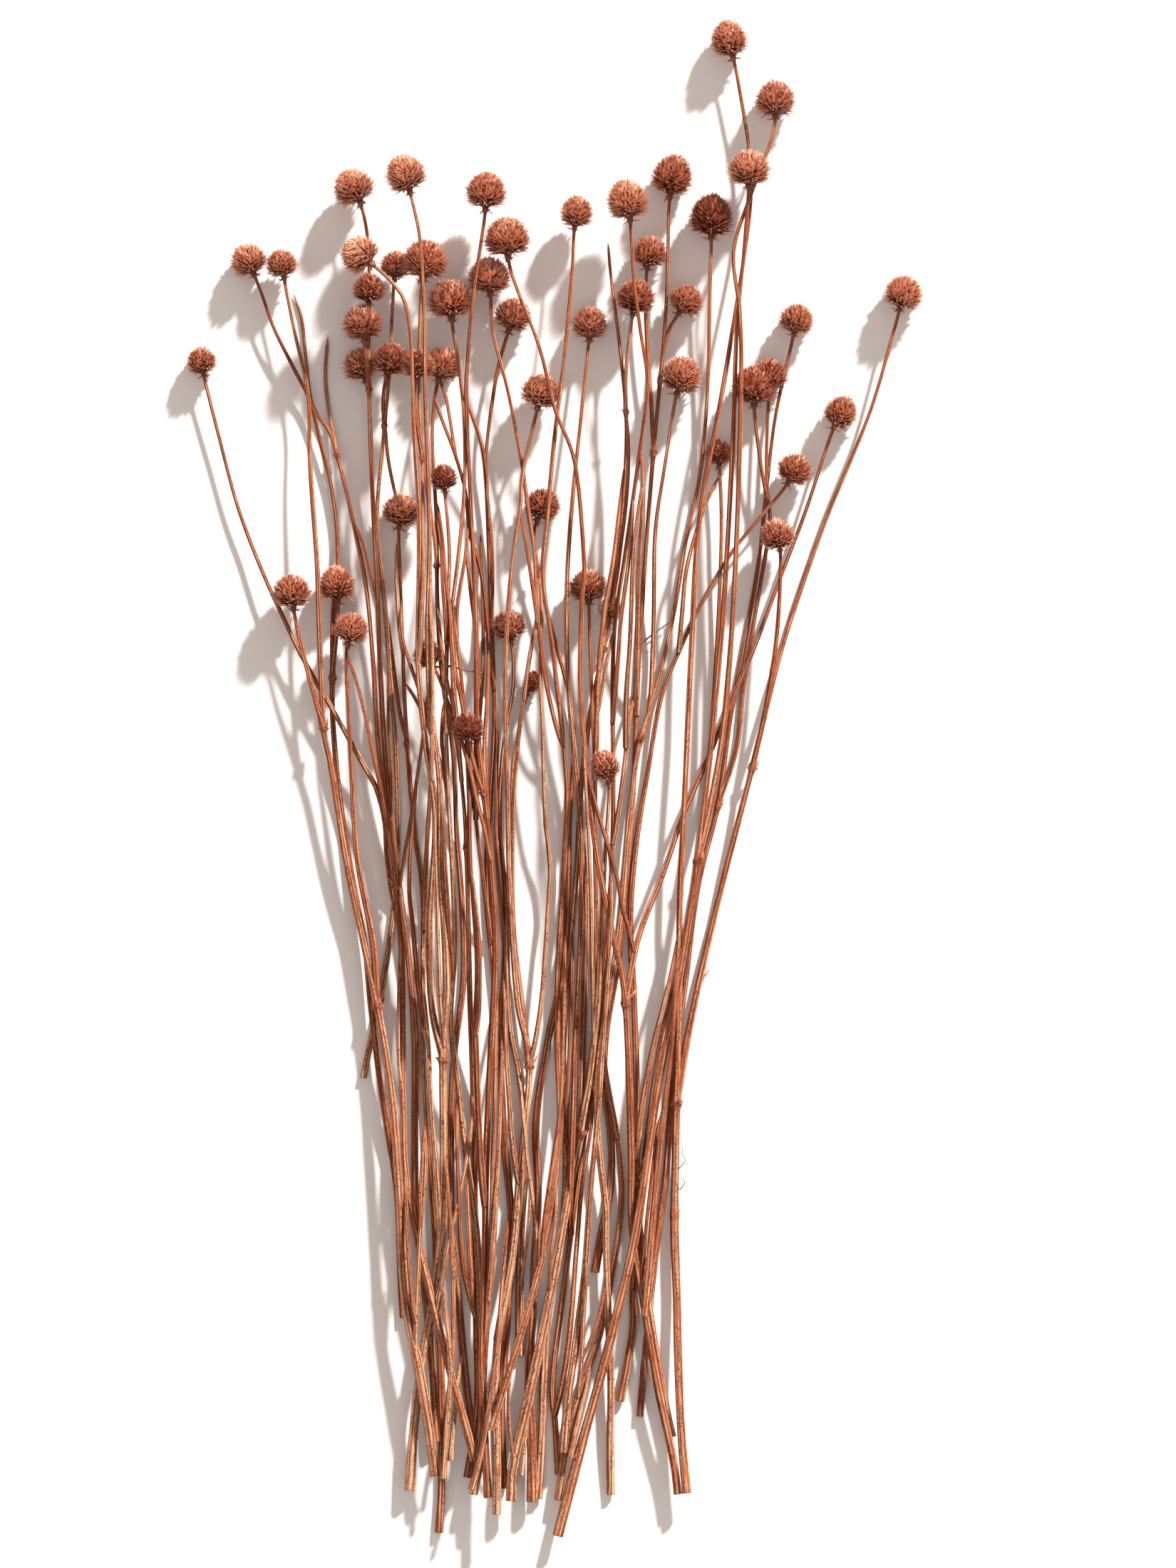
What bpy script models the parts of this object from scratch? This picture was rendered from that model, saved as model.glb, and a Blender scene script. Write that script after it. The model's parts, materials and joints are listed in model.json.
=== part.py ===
"""A loose bunch of dried button-head flower stems, lying flat as the stems were laid down.

Each cut stem is one object: its foot, its forks, its branches and the spiky round heads at
their tips, fused in one body. The stems lie in a pile: each one rests on the floor or on
the stems laid before it. The plan is read in millimetres, with X across the bunch and Y
from the cut feet to the heads; the objects are in metres.
"""
import bmesh
import bpy
import math
import numpy as np
from mathutils import Matrix, Vector

# Sizes, in millimetres
MM = 0.001
RING_STEP = 38.0
SAMPLE_STEP = 1.5
STEM_SIDES = 6
BRANCH_SIDES = 5
NECK_RADIUS = 0.66
FORK_TAPER = 0.86
TAPER_POWER = 0.85
COLLAR_REACH = 5.0
COLLAR_SWELL = 1.22
COLLAR_CLEAR = 3.0
END_CLEAR = 2.0
FORK_BLEND = 12.0
PILE_GAP = 0.42
PILE_BLOCK = 200
PILE_WINDOW = 25.0
SAG = 0.0013
HEAD_COLUMNS = 12
HEAD_ROWS = 6
HEAD_CORE = 0.70
HEAD_POLE = 0.90
TIP_WANDER = 0.08

STEM_COLOUR = (0.56, 0.245, 0.125, 1.0)
STEM_ROUGHNESS = 0.75

# The sprays, from the bottom of the pile up. Each one is the width of its cut foot and its
# branches. A branch is a route of (x, y) points from the foot, or from its fork, to the
# neck, and its head: x, y, width and length, or None where the tip has lost its head.
SPRAYS = (
    (3.2, (
        ([(-59, 2), (-58, 20), (-57.8, 47), (-58.3, 70), (-59.5, 93), (-60.3, 115), (-61.7, 136),
          (-63.5, 158), (-64.7, 180), (-65.3, 205), (-65.3, 228), (-65, 245), (-66, 262),
          (-68, 275), (-70.5, 300), (-72.5, 330), (-73.5, 360), (-74.5, 388), (-74.8, 398)],
         (-74, 405.8, 14.5, 14.5)),
        ([(-71.5, 315), (-75, 330), (-79, 360), (-83.5, 388), (-85.5, 415), (-86.2, 445),
          (-87.5, 456)], (-89.8, 463.7, 14, 14)),
    )),
    (2.8, (
        ([(-89, 182), (-86.5, 194), (-80.8, 222), (-76.5, 252), (-75.3, 282), (-76, 312),
          (-78.3, 342), (-80.5, 372), (-83.3, 402), (-81, 432), (-78.6, 458), (-77.4, 482),
          (-76.7, 496)], (-76, 502.9, 12, 12)),
        ([(-80, 440), (-80.8, 448), (-80, 457)], (-77.7, 465.2, 14.5, 14.5)),
    )),
    (3.6, (
        ([(-60, 38), (-60.8, 55), (-63.5, 90), (-68, 126), (-68.5, 162), (-68.5, 198),
          (-71.3, 232), (-76, 268), (-79.8, 304), (-81.9, 340), (-83.2, 376), (-85, 412),
          (-86.2, 448), (-86.6, 484), (-86.3, 500), (-87, 514), (-89.3, 526)],
         (-92.6, 533.6, 15.5, 15.5)),
        ([(-86.3, 455), (-87.3, 464), (-88.2, 472)], (-89, 480, 15, 15)),
        ([(-86.6, 478), (-86.4, 486)], (-86.4, 493.6, 13, 13)),
    )),
    (3.4, (
        ([(-45, 42), (-48, 58), (-51, 92), (-54, 124), (-54.3, 158), (-53, 190), (-49.3, 220),
          (-49.8, 250), (-52, 280), (-53.2, 310), (-57.5, 340), (-59.4, 370), (-59.7, 400),
          (-61.3, 430), (-61.2, 443), (-59.8, 455)], (-57.4, 463.7, 14.5, 14.5)),
        ([(-59.4, 385), (-60.8, 398), (-65.3, 427), (-66.6, 458), (-66, 488), (-65.3, 496)],
         (-64.2, 504.3, 17, 17)),
        ([(-65.3, 427), (-67.3, 440), (-68.3, 452)], (-67, 463, 13, 13)),
    )),
    (3.5, (
        ([(-47.5, 24), (-45, 40), (-43.5, 58), (-44.5, 100), (-44.8, 142), (-45.6, 180),
          (-46.8, 218), (-47.5, 255), (-49, 291), (-53, 322), (-57.5, 337), (-60.5, 344)],
         (-63, 349, 12, 12)),
        ([(-48.2, 273), (-46.3, 290), (-43, 322), (-41.5, 354), (-42.5, 397)], None),
    )),
    (3.2, (
        ([(2.8, 105), (5, 118), (9, 140), (9, 160), (6.5, 180), (7.5, 202), (12, 229),
          (15.2, 258), (17.5, 288), (18.8, 318), (20.3, 352), (22.5, 385), (25.1, 420),
          (28, 452), (30.6, 482), (31.5, 505), (32, 526)], (33.2, 538.3, 15.5, 19)),
        ([(28.6, 458), (29.8, 470), (32.5, 479), (35, 483)], (38.8, 489.1, 13.5, 13.5)),
        ([(25.8, 430), (25, 448), (23.5, 470), (22.8, 485), (23.2, 500)],
         (24.5, 508.2, 13.5, 14)),
    )),
    (3.8, (
        ([(-20, 15.5), (-18.7, 35), (-17.5, 65), (-16, 88), (-10.5, 118), (-8.7, 148),
          (-10.3, 178), (-9.3, 208), (-6.8, 237), (-4.3, 267), (-2.7, 297), (0.8, 325),
          (6, 352), (10.5, 380), (13.8, 408), (15.2, 438), (13, 467), (9.3, 497), (7.9, 512)],
         None),
        ([(6, 352), (7.5, 358)], (9, 367.5, 9.5, 11)),
        ([(15, 445), (15, 460), (16.2, 472), (17.4, 482)], (18.8, 490, 15, 15)),
    )),
    (2.6, (
        ([(-11.8, 25), (-13, 45), (-14.2, 62), (-10.3, 93), (-6.3, 123), (-2.5, 152),
          (2.3, 180), (5, 210), (7.5, 240), (9.5, 270), (10, 300), (9.7, 330), (10.5, 360),
          (14.5, 388), (18.5, 416), (22.5, 444), (23.5, 458), (20.5, 478), (18, 498),
          (16.8, 518)], (15.5, 528, 15.5, 18)),
    )),
    (3.5, (
        ([(12.7, 54), (15.5, 68), (18, 85), (18, 98), (20.3, 126), (23.7, 158), (28, 190),
          (34, 218), (41, 248), (45.3, 280), (48.3, 312), (50.6, 345), (52.3, 380),
          (52.8, 398), (52.6, 412), (52, 422)], (51.8, 429, 11, 12)),
    )),
    (3.6, (
        ([(-33.5, 19.5), (-34.5, 50), (-32.5, 80), (-30.5, 110), (-30.5, 130), (-33, 155),
          (-34.2, 180), (-35.5, 205), (-38.5, 235), (-40, 265), (-38.5, 295), (-37, 325),
          (-38, 355), (-39, 385), (-40, 415), (-40.2, 430), (-37, 455), (-34.5, 467),
          (-31.8, 476)], (-29.8, 483.2, 14.5, 14.5)),
        ([(-34.4, 190), (-33.3, 225), (-33, 255), (-35, 285), (-33.5, 312), (-29.7, 335),
          (-29.4, 348), (-30.3, 354)], (-31.2, 360.7, 13.5, 13.5)),
    )),
    (3.4, (
        ([(-27, 72), (-27, 100), (-26.3, 125), (-25, 145), (-25.2, 165), (-27.5, 185),
          (-31, 205), (-32, 245), (-30.6, 285), (-29.8, 305), (-27.8, 318), (-25.8, 328),
          (-24, 334)], (-22.2, 338.5, 8, 11)),
    )),
    (4.2, (
        ([(-22.2, 14.5), (-22.3, 40), (-23.3, 62), (-21.5, 100), (-19.8, 135), (-20.5, 165),
          (-15.8, 197), (-10, 225), (-8, 255), (-7.3, 285), (-5.5, 315), (-8, 336),
          (-15, 362), (-20, 384), (-21.5, 396), (-20.3, 402)], (-18, 408.3, 14, 14)),
        ([(-20, 384), (-23.5, 404), (-26, 424), (-31.5, 453), (-37.3, 476), (-38.4, 490)],
         (-39, 498.4, 16, 16)),
    )),
    (3.2, (
        ([(-12, 15), (-8.5, 36), (-3.4, 57), (5, 82), (11, 114), (13.2, 135), (11.8, 157),
          (6.5, 187), (3.7, 217), (3.3, 247), (2.7, 277), (2.8, 300), (1.9, 322),
          (0.8, 352), (0.4, 367)], (0, 376, 15, 14)),
    )),
    (3.3, (
        ([(9, 17), (8.8, 41), (9, 62), (7.2, 110), (6.8, 132), (3.7, 161), (4.5, 190),
          (9, 218), (13.2, 248), (16, 282), (20, 312), (28, 340), (34.3, 368), (38.8, 395),
          (44.3, 421), (47.3, 455), (48.2, 495), (48.7, 512)], (48.7, 522.3, 16.5, 19)),
        ([(21.2, 317), (24.5, 330), (26, 362), (26.6, 397), (30.2, 423), (34.5, 450)],
         (36.9, 459.2, 15.5, 16.5)),
    )),
    (3.6, (
        ([(-45.3, 17.5), (-42.5, 33.5), (-41.5, 60), (-42.3, 90), (-44, 120), (-48, 150),
          (-51.5, 180), (-54.2, 205), (-52.5, 235), (-53.5, 265), (-55, 295), (-56, 325),
          (-55.5, 355), (-54.6, 385), (-55.2, 400), (-56.2, 411)], (-56.8, 418.7, 11, 12)),
        ([(-55.5, 355), (-51.5, 385), (-48.8, 415), (-49, 445), (-52, 470), (-53.6, 480)],
         (-54.3, 489, 17, 17)),
    )),
    (3.4, (
        ([(-39.5, 16.5), (-40.5, 35), (-42, 70), (-40.8, 110), (-40.3, 150), (-38.5, 190),
          (-36.5, 230), (-38, 265), (-41, 295), (-43.8, 325), (-44, 355), (-45.2, 385),
          (-46.5, 415), (-47.8, 445), (-47.8, 460), (-45.3, 490), (-41.8, 514),
          (-40.6, 523)], (-40.2, 531.6, 15.5, 16.5)),
        ([(-41, 295), (-44, 303), (-46, 311)], (-47.3, 320, 13, 13)),
    )),
    (3.2, (
        ([(-73, 87), (-74, 105), (-75.3, 135), (-79, 160), (-83, 186), (-86, 212),
          (-88.5, 236), (-94, 265), (-98.5, 295), (-101, 325), (-101, 345), (-100.8, 365),
          (-99, 390), (-101, 413), (-106, 434), (-110, 450), (-116, 462), (-124, 478),
          (-129, 492), (-131.7, 499)], (-134.2, 505.1, 14, 14)),
        ([(-101, 340), (-99.3, 358), (-98.8, 368)], (-99.3, 377, 14, 16)),
    )),
    (4.0, (
        ([(-70.6, 19), (-69, 42), (-65.6, 70), (-60.5, 98), (-57.3, 128), (-57, 160),
          (-57.2, 190), (-55.8, 222), (-57.8, 262), (-58.5, 300), (-62, 330), (-63, 360),
          (-62.3, 390), (-62.8, 420), (-63.9, 450), (-64.3, 480), (-65.8, 510), (-67.8, 522),
          (-69.7, 530)], (-71.8, 538, 15, 17)),
        ([(-57.2, 190), (-61.5, 210), (-62.5, 240), (-60, 285), (-64, 315), (-66.8, 345),
          (-66.5, 375), (-66.5, 405), (-68.3, 435), (-69.3, 465), (-70.2, 478), (-72.5, 489),
          (-77.5, 496), (-83.5, 501.5)], (-89.8, 506.5, 15, 15)),
    )),
    (3.6, (
        ([(-44.7, 31), (-48.4, 45), (-56, 72), (-65, 109), (-71.5, 140), (-73.2, 175),
          (-73.5, 225), (-76, 258), (-79, 282), (-83, 315), (-84.8, 345), (-87.5, 375),
          (-92, 398), (-97, 420), (-102, 437), (-109, 448), (-111.5, 465), (-113.2, 482),
          (-116.5, 492)], None),
        ([(-76, 258), (-77.5, 272), (-80.5, 290), (-90, 308), (-100, 326), (-110.5, 344),
          (-119, 361), (-129, 383), (-138.5, 408), (-146, 436), (-151.5, 458)],
         (-152.8, 465.2, 12, 12)),
        ([(-99, 428), (-102.3, 445), (-104, 460), (-103, 475)], None),
    )),
    (3.0, (
        ([(20.5, 48), (22, 65), (26, 106), (31, 146), (34, 185), (38.8, 222), (43.5, 258),
          (51.5, 290), (56, 322), (61.5, 352), (67.3, 385), (70.5, 414), (74, 443),
          (79.5, 468), (81, 474.5)], (82.4, 481.5, 13.5, 13.5)),
        ([(51.5, 290), (58.7, 312), (61.5, 337), (66, 365), (70.8, 393), (72, 404),
          (68.7, 422), (66, 443)], (65.6, 455, 17, 17)),
        ([(70.8, 413), (70.6, 428), (71, 442), (71.6, 452)], (71.8, 459.5, 14, 14)),
    )),
    (3.5, (
        ([(33, 40), (28, 66), (23.5, 95), (20, 125), (19, 150), (19.3, 175), (18.3, 212),
          (16.8, 245), (19.3, 276), (24, 305), (29, 333), (37, 353), (45.5, 371), (57, 390),
          (70, 406), (77.5, 415)], (81.6, 422.1, 13.5, 13.5)),
        ([(19.4, 141), (26, 158), (31, 173)], None),
    )),
    (4.3, (
        ([(-60.3, 25), (-63, 45), (-67, 68), (-71.5, 90), (-73.5, 112), (-74.5, 135),
          (-77.5, 175), (-83.3, 211), (-88, 232), (-95.5, 267), (-101.5, 305), (-104.5, 321),
          (-106, 355), (-107, 385), (-109.8, 425), (-110.5, 452), (-115.5, 475),
          (-119.7, 496)], (-121, 503.4, 12.5, 12.5)),
        ([(-104.5, 321), (-106.5, 328), (-110.5, 342), (-113.5, 354), (-116, 366)],
         (-117, 373.7, 15, 15)),
        ([(-83.3, 211), (-84.8, 235), (-91, 268), (-93.5, 305), (-95, 335), (-95.3, 351)],
         (-93.4, 359.3, 13.5, 13.5)),
    )),
    (3.6, (
        ([(-36, 10), (-36, 35), (-36.5, 58), (-35.5, 80), (-29.8, 112), (-27, 145),
          (-23.2, 187), (-28, 213), (-31, 257), (-32, 300), (-32.8, 330), (-32, 360),
          (-30, 385), (-26.7, 408), (-26, 420), (-22, 438), (-20.3, 445)],
         (-18.6, 452.8, 15, 15)),
        ([(-23.2, 187), (-26.2, 211), (-29.5, 240), (-30, 270), (-28.6, 305), (-24.2, 340),
          (-19.7, 367.5)], None),
    )),
    (3.0, (
        ([(-38.5, 43), (-34, 57), (-26, 83), (-18.5, 110), (-13.5, 136), (-11, 164),
          (-12, 195), (-11.8, 225), (-9.3, 270), (-8.5, 300), (-13.8, 350), (-17.8, 380),
          (-16, 404), (-13.3, 434), (-9.2, 468), (-6.3, 500), (-5.6, 515)],
         (-4.5, 523.7, 12.7, 14.6)),
    )),
    (4.4, (
        ([(-30.4, 15), (-29.5, 29), (-23.4, 56), (-17.7, 83), (-12, 112), (-6.5, 143),
          (-3.4, 160), (-2.3, 190), (-1, 235), (-1.5, 265), (-5.5, 310), (-8.2, 345),
          (-8.2, 380), (-6, 412), (-2.8, 443), (0.2, 472)], (0.8, 480, 13.5, 15)),
        ([(-3.4, 160), (1, 185), (4, 215), (5.3, 243), (6.8, 272), (8.3, 296)],
         (6.8, 305.3, 11.5, 14.5)),
    )),
    (3.4, (
        ([(35.5, 17.5), (33.5, 32), (27, 63), (22, 93), (17.3, 123), (17, 155), (14.8, 212),
          (9.5, 240), (3.5, 270), (0, 300), (-3, 335), (-2.5, 370), (-1.5, 385), (-5, 424),
          (-13, 446), (-19, 470), (-27, 491), (-31, 503)], (-32, 513.3, 17, 17)),
        ([(14.8, 212), (20, 238), (30, 264), (38, 287), (48, 310), (57, 332), (66, 353),
          (78, 385), (86, 406), (96, 436)], (99.9, 444.9, 13, 15)),
    )),
    (3.7, (
        ([(39, 18), (37, 40), (35.7, 70), (35, 100), (34.2, 128), (35.3, 185), (36, 220),
          (36.4, 255), (38.7, 305), (41, 355), (44, 403), (53, 453), (61, 502), (64, 525),
          (64.2, 545), (59.5, 575), (57.7, 584)], (55.7, 592.3, 14, 17)),
        ([(35, 172), (41, 206), (52, 254), (65, 305), (77, 353), (93, 400), (111, 444),
          (120.5, 476), (122.7, 484)], (124.7, 491.9, 15, 15)),
        ([(65, 305), (70.5, 330), (74.6, 358), (76, 387)], (74.8, 396.2, 13.5, 13.5)),
    )),
    (4.2, (
        ([(-12, 1), (-2.3, 38), (6, 68), (16.5, 110), (22, 140), (28, 180), (34, 210),
          (42, 258), (46.3, 292), (50, 328), (53.5, 368), (57, 430), (58.6, 475),
          (61.5, 508), (63.2, 530)], (63.6, 540.6, 16, 16)),
        ([(43.5, 268), (49, 293), (54, 325), (58, 380), (60.3, 450), (60, 483), (57.5, 508),
          (64, 530), (71.5, 550), (73.8, 559)], (74, 568.4, 15, 16)),
    )),
)


def spline(points):
    """A smooth run of close points through the route's points (Catmull-Rom)."""
    p = np.array(points, float)
    p = np.vstack([2 * p[0] - p[1], p, 2 * p[-1] - p[-2]])
    runs = []
    for a, b, c, d in zip(p[:-3], p[1:-2], p[2:-1], p[3:]):
        count = max(int(np.hypot(*(c - b)) / SAMPLE_STEP), 2)
        t = np.linspace(0, 1, count, endpoint=False)[:, None]
        cubic = 2 * b + (c - a) * t + (2 * a - 5 * b + 4 * c - d) * t**2
        runs.append((cubic + (3 * b - a - 3 * c + d) * t**3) / 2)
    return np.vstack(runs + [p[-2:-1]])


def lengths(points):
    """The distance along a run of points, from its start."""
    steps = np.hypot(*np.diff(points, axis=0).T)
    return np.concatenate([[0], np.cumsum(steps)])


def ring_places(total, knots):
    """Where a tube has its rings: even steps, and three close ones at each knot."""
    places = list(np.linspace(0, total, max(int(round(total / RING_STEP)), 2) + 1))
    for knot in knots:
        near = [knot - COLLAR_REACH, knot, knot + COLLAR_REACH]
        places = [s for s in places
                  if min(abs(s - n) for n in near) > COLLAR_CLEAR or s in (0, total)]
        places += [n for n in near if END_CLEAR < n < total - END_CLEAR]
    return np.array(sorted(places))


class Branch:
    """One stem or branch: its rings, its samples between them, and its head."""

    def __init__(self, route, head):
        self.head = head
        self.parent = None
        self.fork = 0
        points = list(route) + ([head[:2]] if head else [])
        self.curve = spline(points)
        self.along = lengths(self.curve)
        self.total = self.along[-1]
        self.knots = []

    def start_on(self, parent):
        """Start this branch on the axis of the stem that it grows from."""
        gaps = np.hypot(*(parent.curve - self.curve[0]).T)
        self.parent = parent
        self.fork = parent.along[gaps.argmin()]
        self.curve = self.curve + (parent.curve[gaps.argmin()] - self.curve[0]) * np.exp(
            -self.along / FORK_BLEND)[:, None]
        self.along = lengths(self.curve)
        self.total = self.along[-1]
        parent.knots.append(self.fork)

    def divide(self):
        """Place the rings, and the samples on the straight runs between them."""
        self.rings = ring_places(self.total, self.knots)
        x = np.interp(self.rings, self.along, self.curve[:, 0])
        y = np.interp(self.rings, self.along, self.curve[:, 1])
        self.ring_xy = np.stack([x, y], axis=1)
        parts = [np.linspace(a, b, max(int((b - a) / SAMPLE_STEP), 1), endpoint=False)
                 for a, b in zip(self.rings[:-1], self.rings[1:])]
        self.s = np.concatenate(parts + [[self.total]])
        self.xy = np.stack([np.interp(self.s, self.rings, x),
                            np.interp(self.s, self.rings, y)], axis=1)

    def radius(self, s):
        """The stem's radius: a slow taper to the neck, and a swelling at each knot."""
        share = (s / self.total) ** TAPER_POWER
        radius = self.root_radius * (1 - share) + NECK_RADIUS * share
        for knot in self.knots:
            radius = radius * (1 + (COLLAR_SWELL - 1) * np.clip(
                1 - np.abs(s - knot) / COLLAR_REACH, 0, 1))
        return radius


def make_spray(width, rows):
    """The branches of one cut stem, each started on the nearest earlier one."""
    branches = []
    for route, head in rows:
        branch = Branch(route, head)
        if branches:
            near = [np.hypot(*(b.curve - branch.curve[0]).T).min() for b in branches]
            branch.start_on(branches[int(np.argmin(near))])
        branches.append(branch)
    for branch in branches:
        parent = branch.parent
        branch.root_radius = (FORK_TAPER * float(parent.radius(np.array(branch.fork)))
                              if parent else width / 2)
        branch.divide()
    return branches


def tree_distance(branches):
    """The way along the stems between every two samples of one spray."""
    grid = np.zeros((0, 0))
    starts = []
    for branch in branches:
        own = np.abs(branch.s[:, None] - branch.s[None, :])
        if branch.parent is None:
            across = np.zeros((len(branch.s), 0))
        else:
            mother = branches.index(branch.parent)
            fork = starts[mother] + int(np.abs(branch.parent.s - branch.fork).argmin())
            across = branch.s[:, None] + grid[fork][None, :]
        starts.append(len(grid))
        grid = np.block([[grid, across.T], [across, own]])
    return grid


def lowest(xy, radius, laid):
    """The lowest height at which each sample clears the floor and all that lies below."""
    level = radius.copy()
    if len(laid) == 0:
        return level
    for block in range(0, len(xy), PILE_BLOCK):
        part = slice(block, block + PILE_BLOCK)
        near = laid[(laid[:, 1] > xy[part, 1].min() - PILE_WINDOW)
                    & (laid[:, 1] < xy[part, 1].max() + PILE_WINDOW)]
        reach = radius[part, None] + near[None, :, 3] + PILE_GAP
        flat = ((xy[part, None, :] - near[None, :, :2]) ** 2).sum(axis=2)
        lift = np.where(flat < reach**2, near[None, :, 2] + np.sqrt(
            np.maximum(reach**2 - flat, 0)), 0)
        if len(near):
            level[part] = np.maximum(level[part], lift.max(axis=1))
    return level


def head_radius(head):
    """Half of a round head's mean width."""
    return (head[2] + head[3]) / 4


def pile(sprays):
    """Lay the sprays one on another; each sags between what holds it up."""
    laid = np.zeros((0, 4))
    for branches in sprays:
        xy = np.vstack([b.xy for b in branches])
        radius = np.concatenate([b.radius(b.s) for b in branches])
        ends = np.cumsum([len(b.s) for b in branches]) - 1
        for end, branch in zip(ends, branches):
            if branch.head:
                radius[end] = head_radius(branch.head)
        level = lowest(xy, radius, laid)
        sag = SAG / 2 * tree_distance(branches) ** 2
        height = (level[None, :] - sag).max(axis=1)
        first = 0
        for end, branch in zip(ends, branches):
            own = height[first:end + 1]
            branch.ring_z = np.interp(branch.rings, branch.s, own)
            branch.z = np.interp(branch.s, branch.rings, branch.ring_z)
            first = end + 1
        height = np.concatenate([b.z for b in branches])
        laid = np.vstack([laid, np.column_stack([xy, height, radius])])


def tube(name, centres, radii, sides):
    """A closed tube with a ring of corners round each centre."""
    points = [Vector(c) for c in centres]
    mesh = bmesh.new()
    rings = []
    for i, (centre, radius) in enumerate(zip(points, map(float, radii))):
        before = points[max(i - 1, 0)]
        after = points[min(i + 1, len(points) - 1)]
        ahead = (after - before).normalized()
        side = ahead.cross(Vector((0, 0, 1))).normalized()
        up = side.cross(ahead)
        turn = [2 * math.pi * (k + 0.5) / sides for k in range(sides)]
        rings.append([mesh.verts.new(centre + radius * (math.cos(a) * side + math.sin(a) * up))
                      for a in turn])
    for low, high in zip(rings[:-1], rings[1:]):
        for k in range(sides):
            m = (k + 1) % sides
            mesh.faces.new((low[k], low[m], high[m], high[k]))
    mesh.faces.new(rings[0][::-1])
    mesh.faces.new(rings[-1])
    return finish_mesh(name, mesh)


def spiky_head(name, centre, ahead, width, length, draw):
    """A round head: rows of corners that stand out and fall back in turn, as its bracts do."""
    turn = ahead.to_track_quat("Z", "Y").to_matrix()
    mesh = bmesh.new()
    rings = []
    for row in range(HEAD_ROWS):
        polar = math.pi * (row + 1) / (HEAD_ROWS + 1)
        ring = []
        for k in range(HEAD_COLUMNS):
            out = (k + row) % 2 == 0
            reach = (1 if out else HEAD_CORE) * (1 - TIP_WANDER * draw.uniform())
            around = 2 * math.pi * k / HEAD_COLUMNS
            spot = Vector((math.sin(polar) * math.cos(around) * width / 2,
                           math.sin(polar) * math.sin(around) * width / 2,
                           -math.cos(polar) * length / 2))
            ring.append(mesh.verts.new(centre + turn @ (spot * reach)))
        rings.append(ring)
    base = mesh.verts.new(centre + turn @ Vector((0, 0, -HEAD_POLE * length / 2)))
    crown = mesh.verts.new(centre + turn @ Vector((0, 0, HEAD_POLE * length / 2)))
    for k in range(HEAD_COLUMNS):
        m = (k + 1) % HEAD_COLUMNS
        mesh.faces.new((base, rings[0][m], rings[0][k]))
        mesh.faces.new((crown, rings[-1][k], rings[-1][m]))
        for row in range(HEAD_ROWS - 1):
            corners = (rings[row][k], rings[row][m], rings[row + 1][m], rings[row + 1][k])
            ridge = (k + row) % 2 == 0
            order = ((0, 1, 2), (0, 2, 3)) if ridge else ((0, 1, 3), (1, 2, 3))
            for a, b, c in order:
                mesh.faces.new((corners[a], corners[b], corners[c]))
    return finish_mesh(name, mesh)


def finish_mesh(name, mesh):
    """Turn a bmesh in millimetres into a closed object in metres, facing out."""
    bmesh.ops.recalc_face_normals(mesh, faces=mesh.faces)
    bmesh.ops.scale(mesh, vec=(MM, MM, MM), verts=mesh.verts)
    data = bpy.data.meshes.new(name)
    mesh.to_mesh(data)
    mesh.free()
    thing = bpy.data.objects.new(name, data)
    bpy.context.scene.collection.objects.link(thing)
    return thing


def fuse(thing, extras):
    """Join the extras into one closed body with the thing, and take them away."""
    if not extras:
        return
    group = bpy.data.collections.new("extras")
    bpy.context.scene.collection.children.link(group)
    for extra in extras:
        bpy.context.scene.collection.objects.unlink(extra)
        group.objects.link(extra)
    cut = thing.modifiers.new("fuse", "BOOLEAN")
    cut.operation = "UNION"
    cut.operand_type = "COLLECTION"
    cut.collection = group
    cut.solver = "EXACT"
    bpy.context.view_layer.objects.active = thing
    bpy.ops.object.modifier_apply(modifier=cut.name)
    for extra in extras:
        bpy.data.objects.remove(extra)
    bpy.data.collections.remove(group)


def drop_scraps(thing):
    """Keep the largest shell of a fused body."""
    mesh = bmesh.new()
    mesh.from_mesh(thing.data)
    left = set(mesh.verts)
    shells = []
    while left:
        shell = set()
        front = [left.pop()]
        while front:
            vert = front.pop()
            shell.add(vert)
            for edge in vert.link_edges:
                other = edge.other_vert(vert)
                if other in left:
                    left.remove(other)
                    front.append(other)
        shells.append(shell)
    keep = max(shells, key=len)
    bmesh.ops.delete(mesh, geom=[v for v in mesh.verts if v not in keep], context="VERTS")
    mesh.to_mesh(thing.data)
    mesh.free()


def stem_material():
    """Dry tan to orange stem, dull."""
    material = bpy.data.materials.new("dry_flower_stem")
    material.use_nodes = True
    shader = material.node_tree.nodes["Principled BSDF"]
    shader.inputs["Base Color"].default_value = STEM_COLOUR
    shader.inputs["Roughness"].default_value = STEM_ROUGHNESS
    shader.inputs["Metallic"].default_value = 0.0
    return material


def build_spray(number, branches, material):
    """One cut stem with its branches and heads, fused in one body."""
    draw = np.random.default_rng(number)
    name = f"spray_{number:02d}"
    pieces = []
    for k, branch in enumerate(branches):
        centres = np.column_stack([branch.ring_xy, branch.ring_z])
        sides = BRANCH_SIDES if branch.parent else STEM_SIDES
        pieces.append(tube(name if k == 0 else f"{name}_{k}", centres,
                           branch.radius(branch.rings), sides))
        if branch.head:
            centre = Vector(centres[-1])
            ahead = (centre - Vector(centres[-2])).normalized()
            pieces.append(spiky_head(f"{name}_head_{k}", centre, ahead,
                                     branch.head[2], branch.head[3], draw))
    fuse(pieces[0], pieces[1:])
    drop_scraps(pieces[0])
    pieces[0].data.materials.clear()
    pieces[0].data.materials.append(material)
    return pieces[0]


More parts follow.
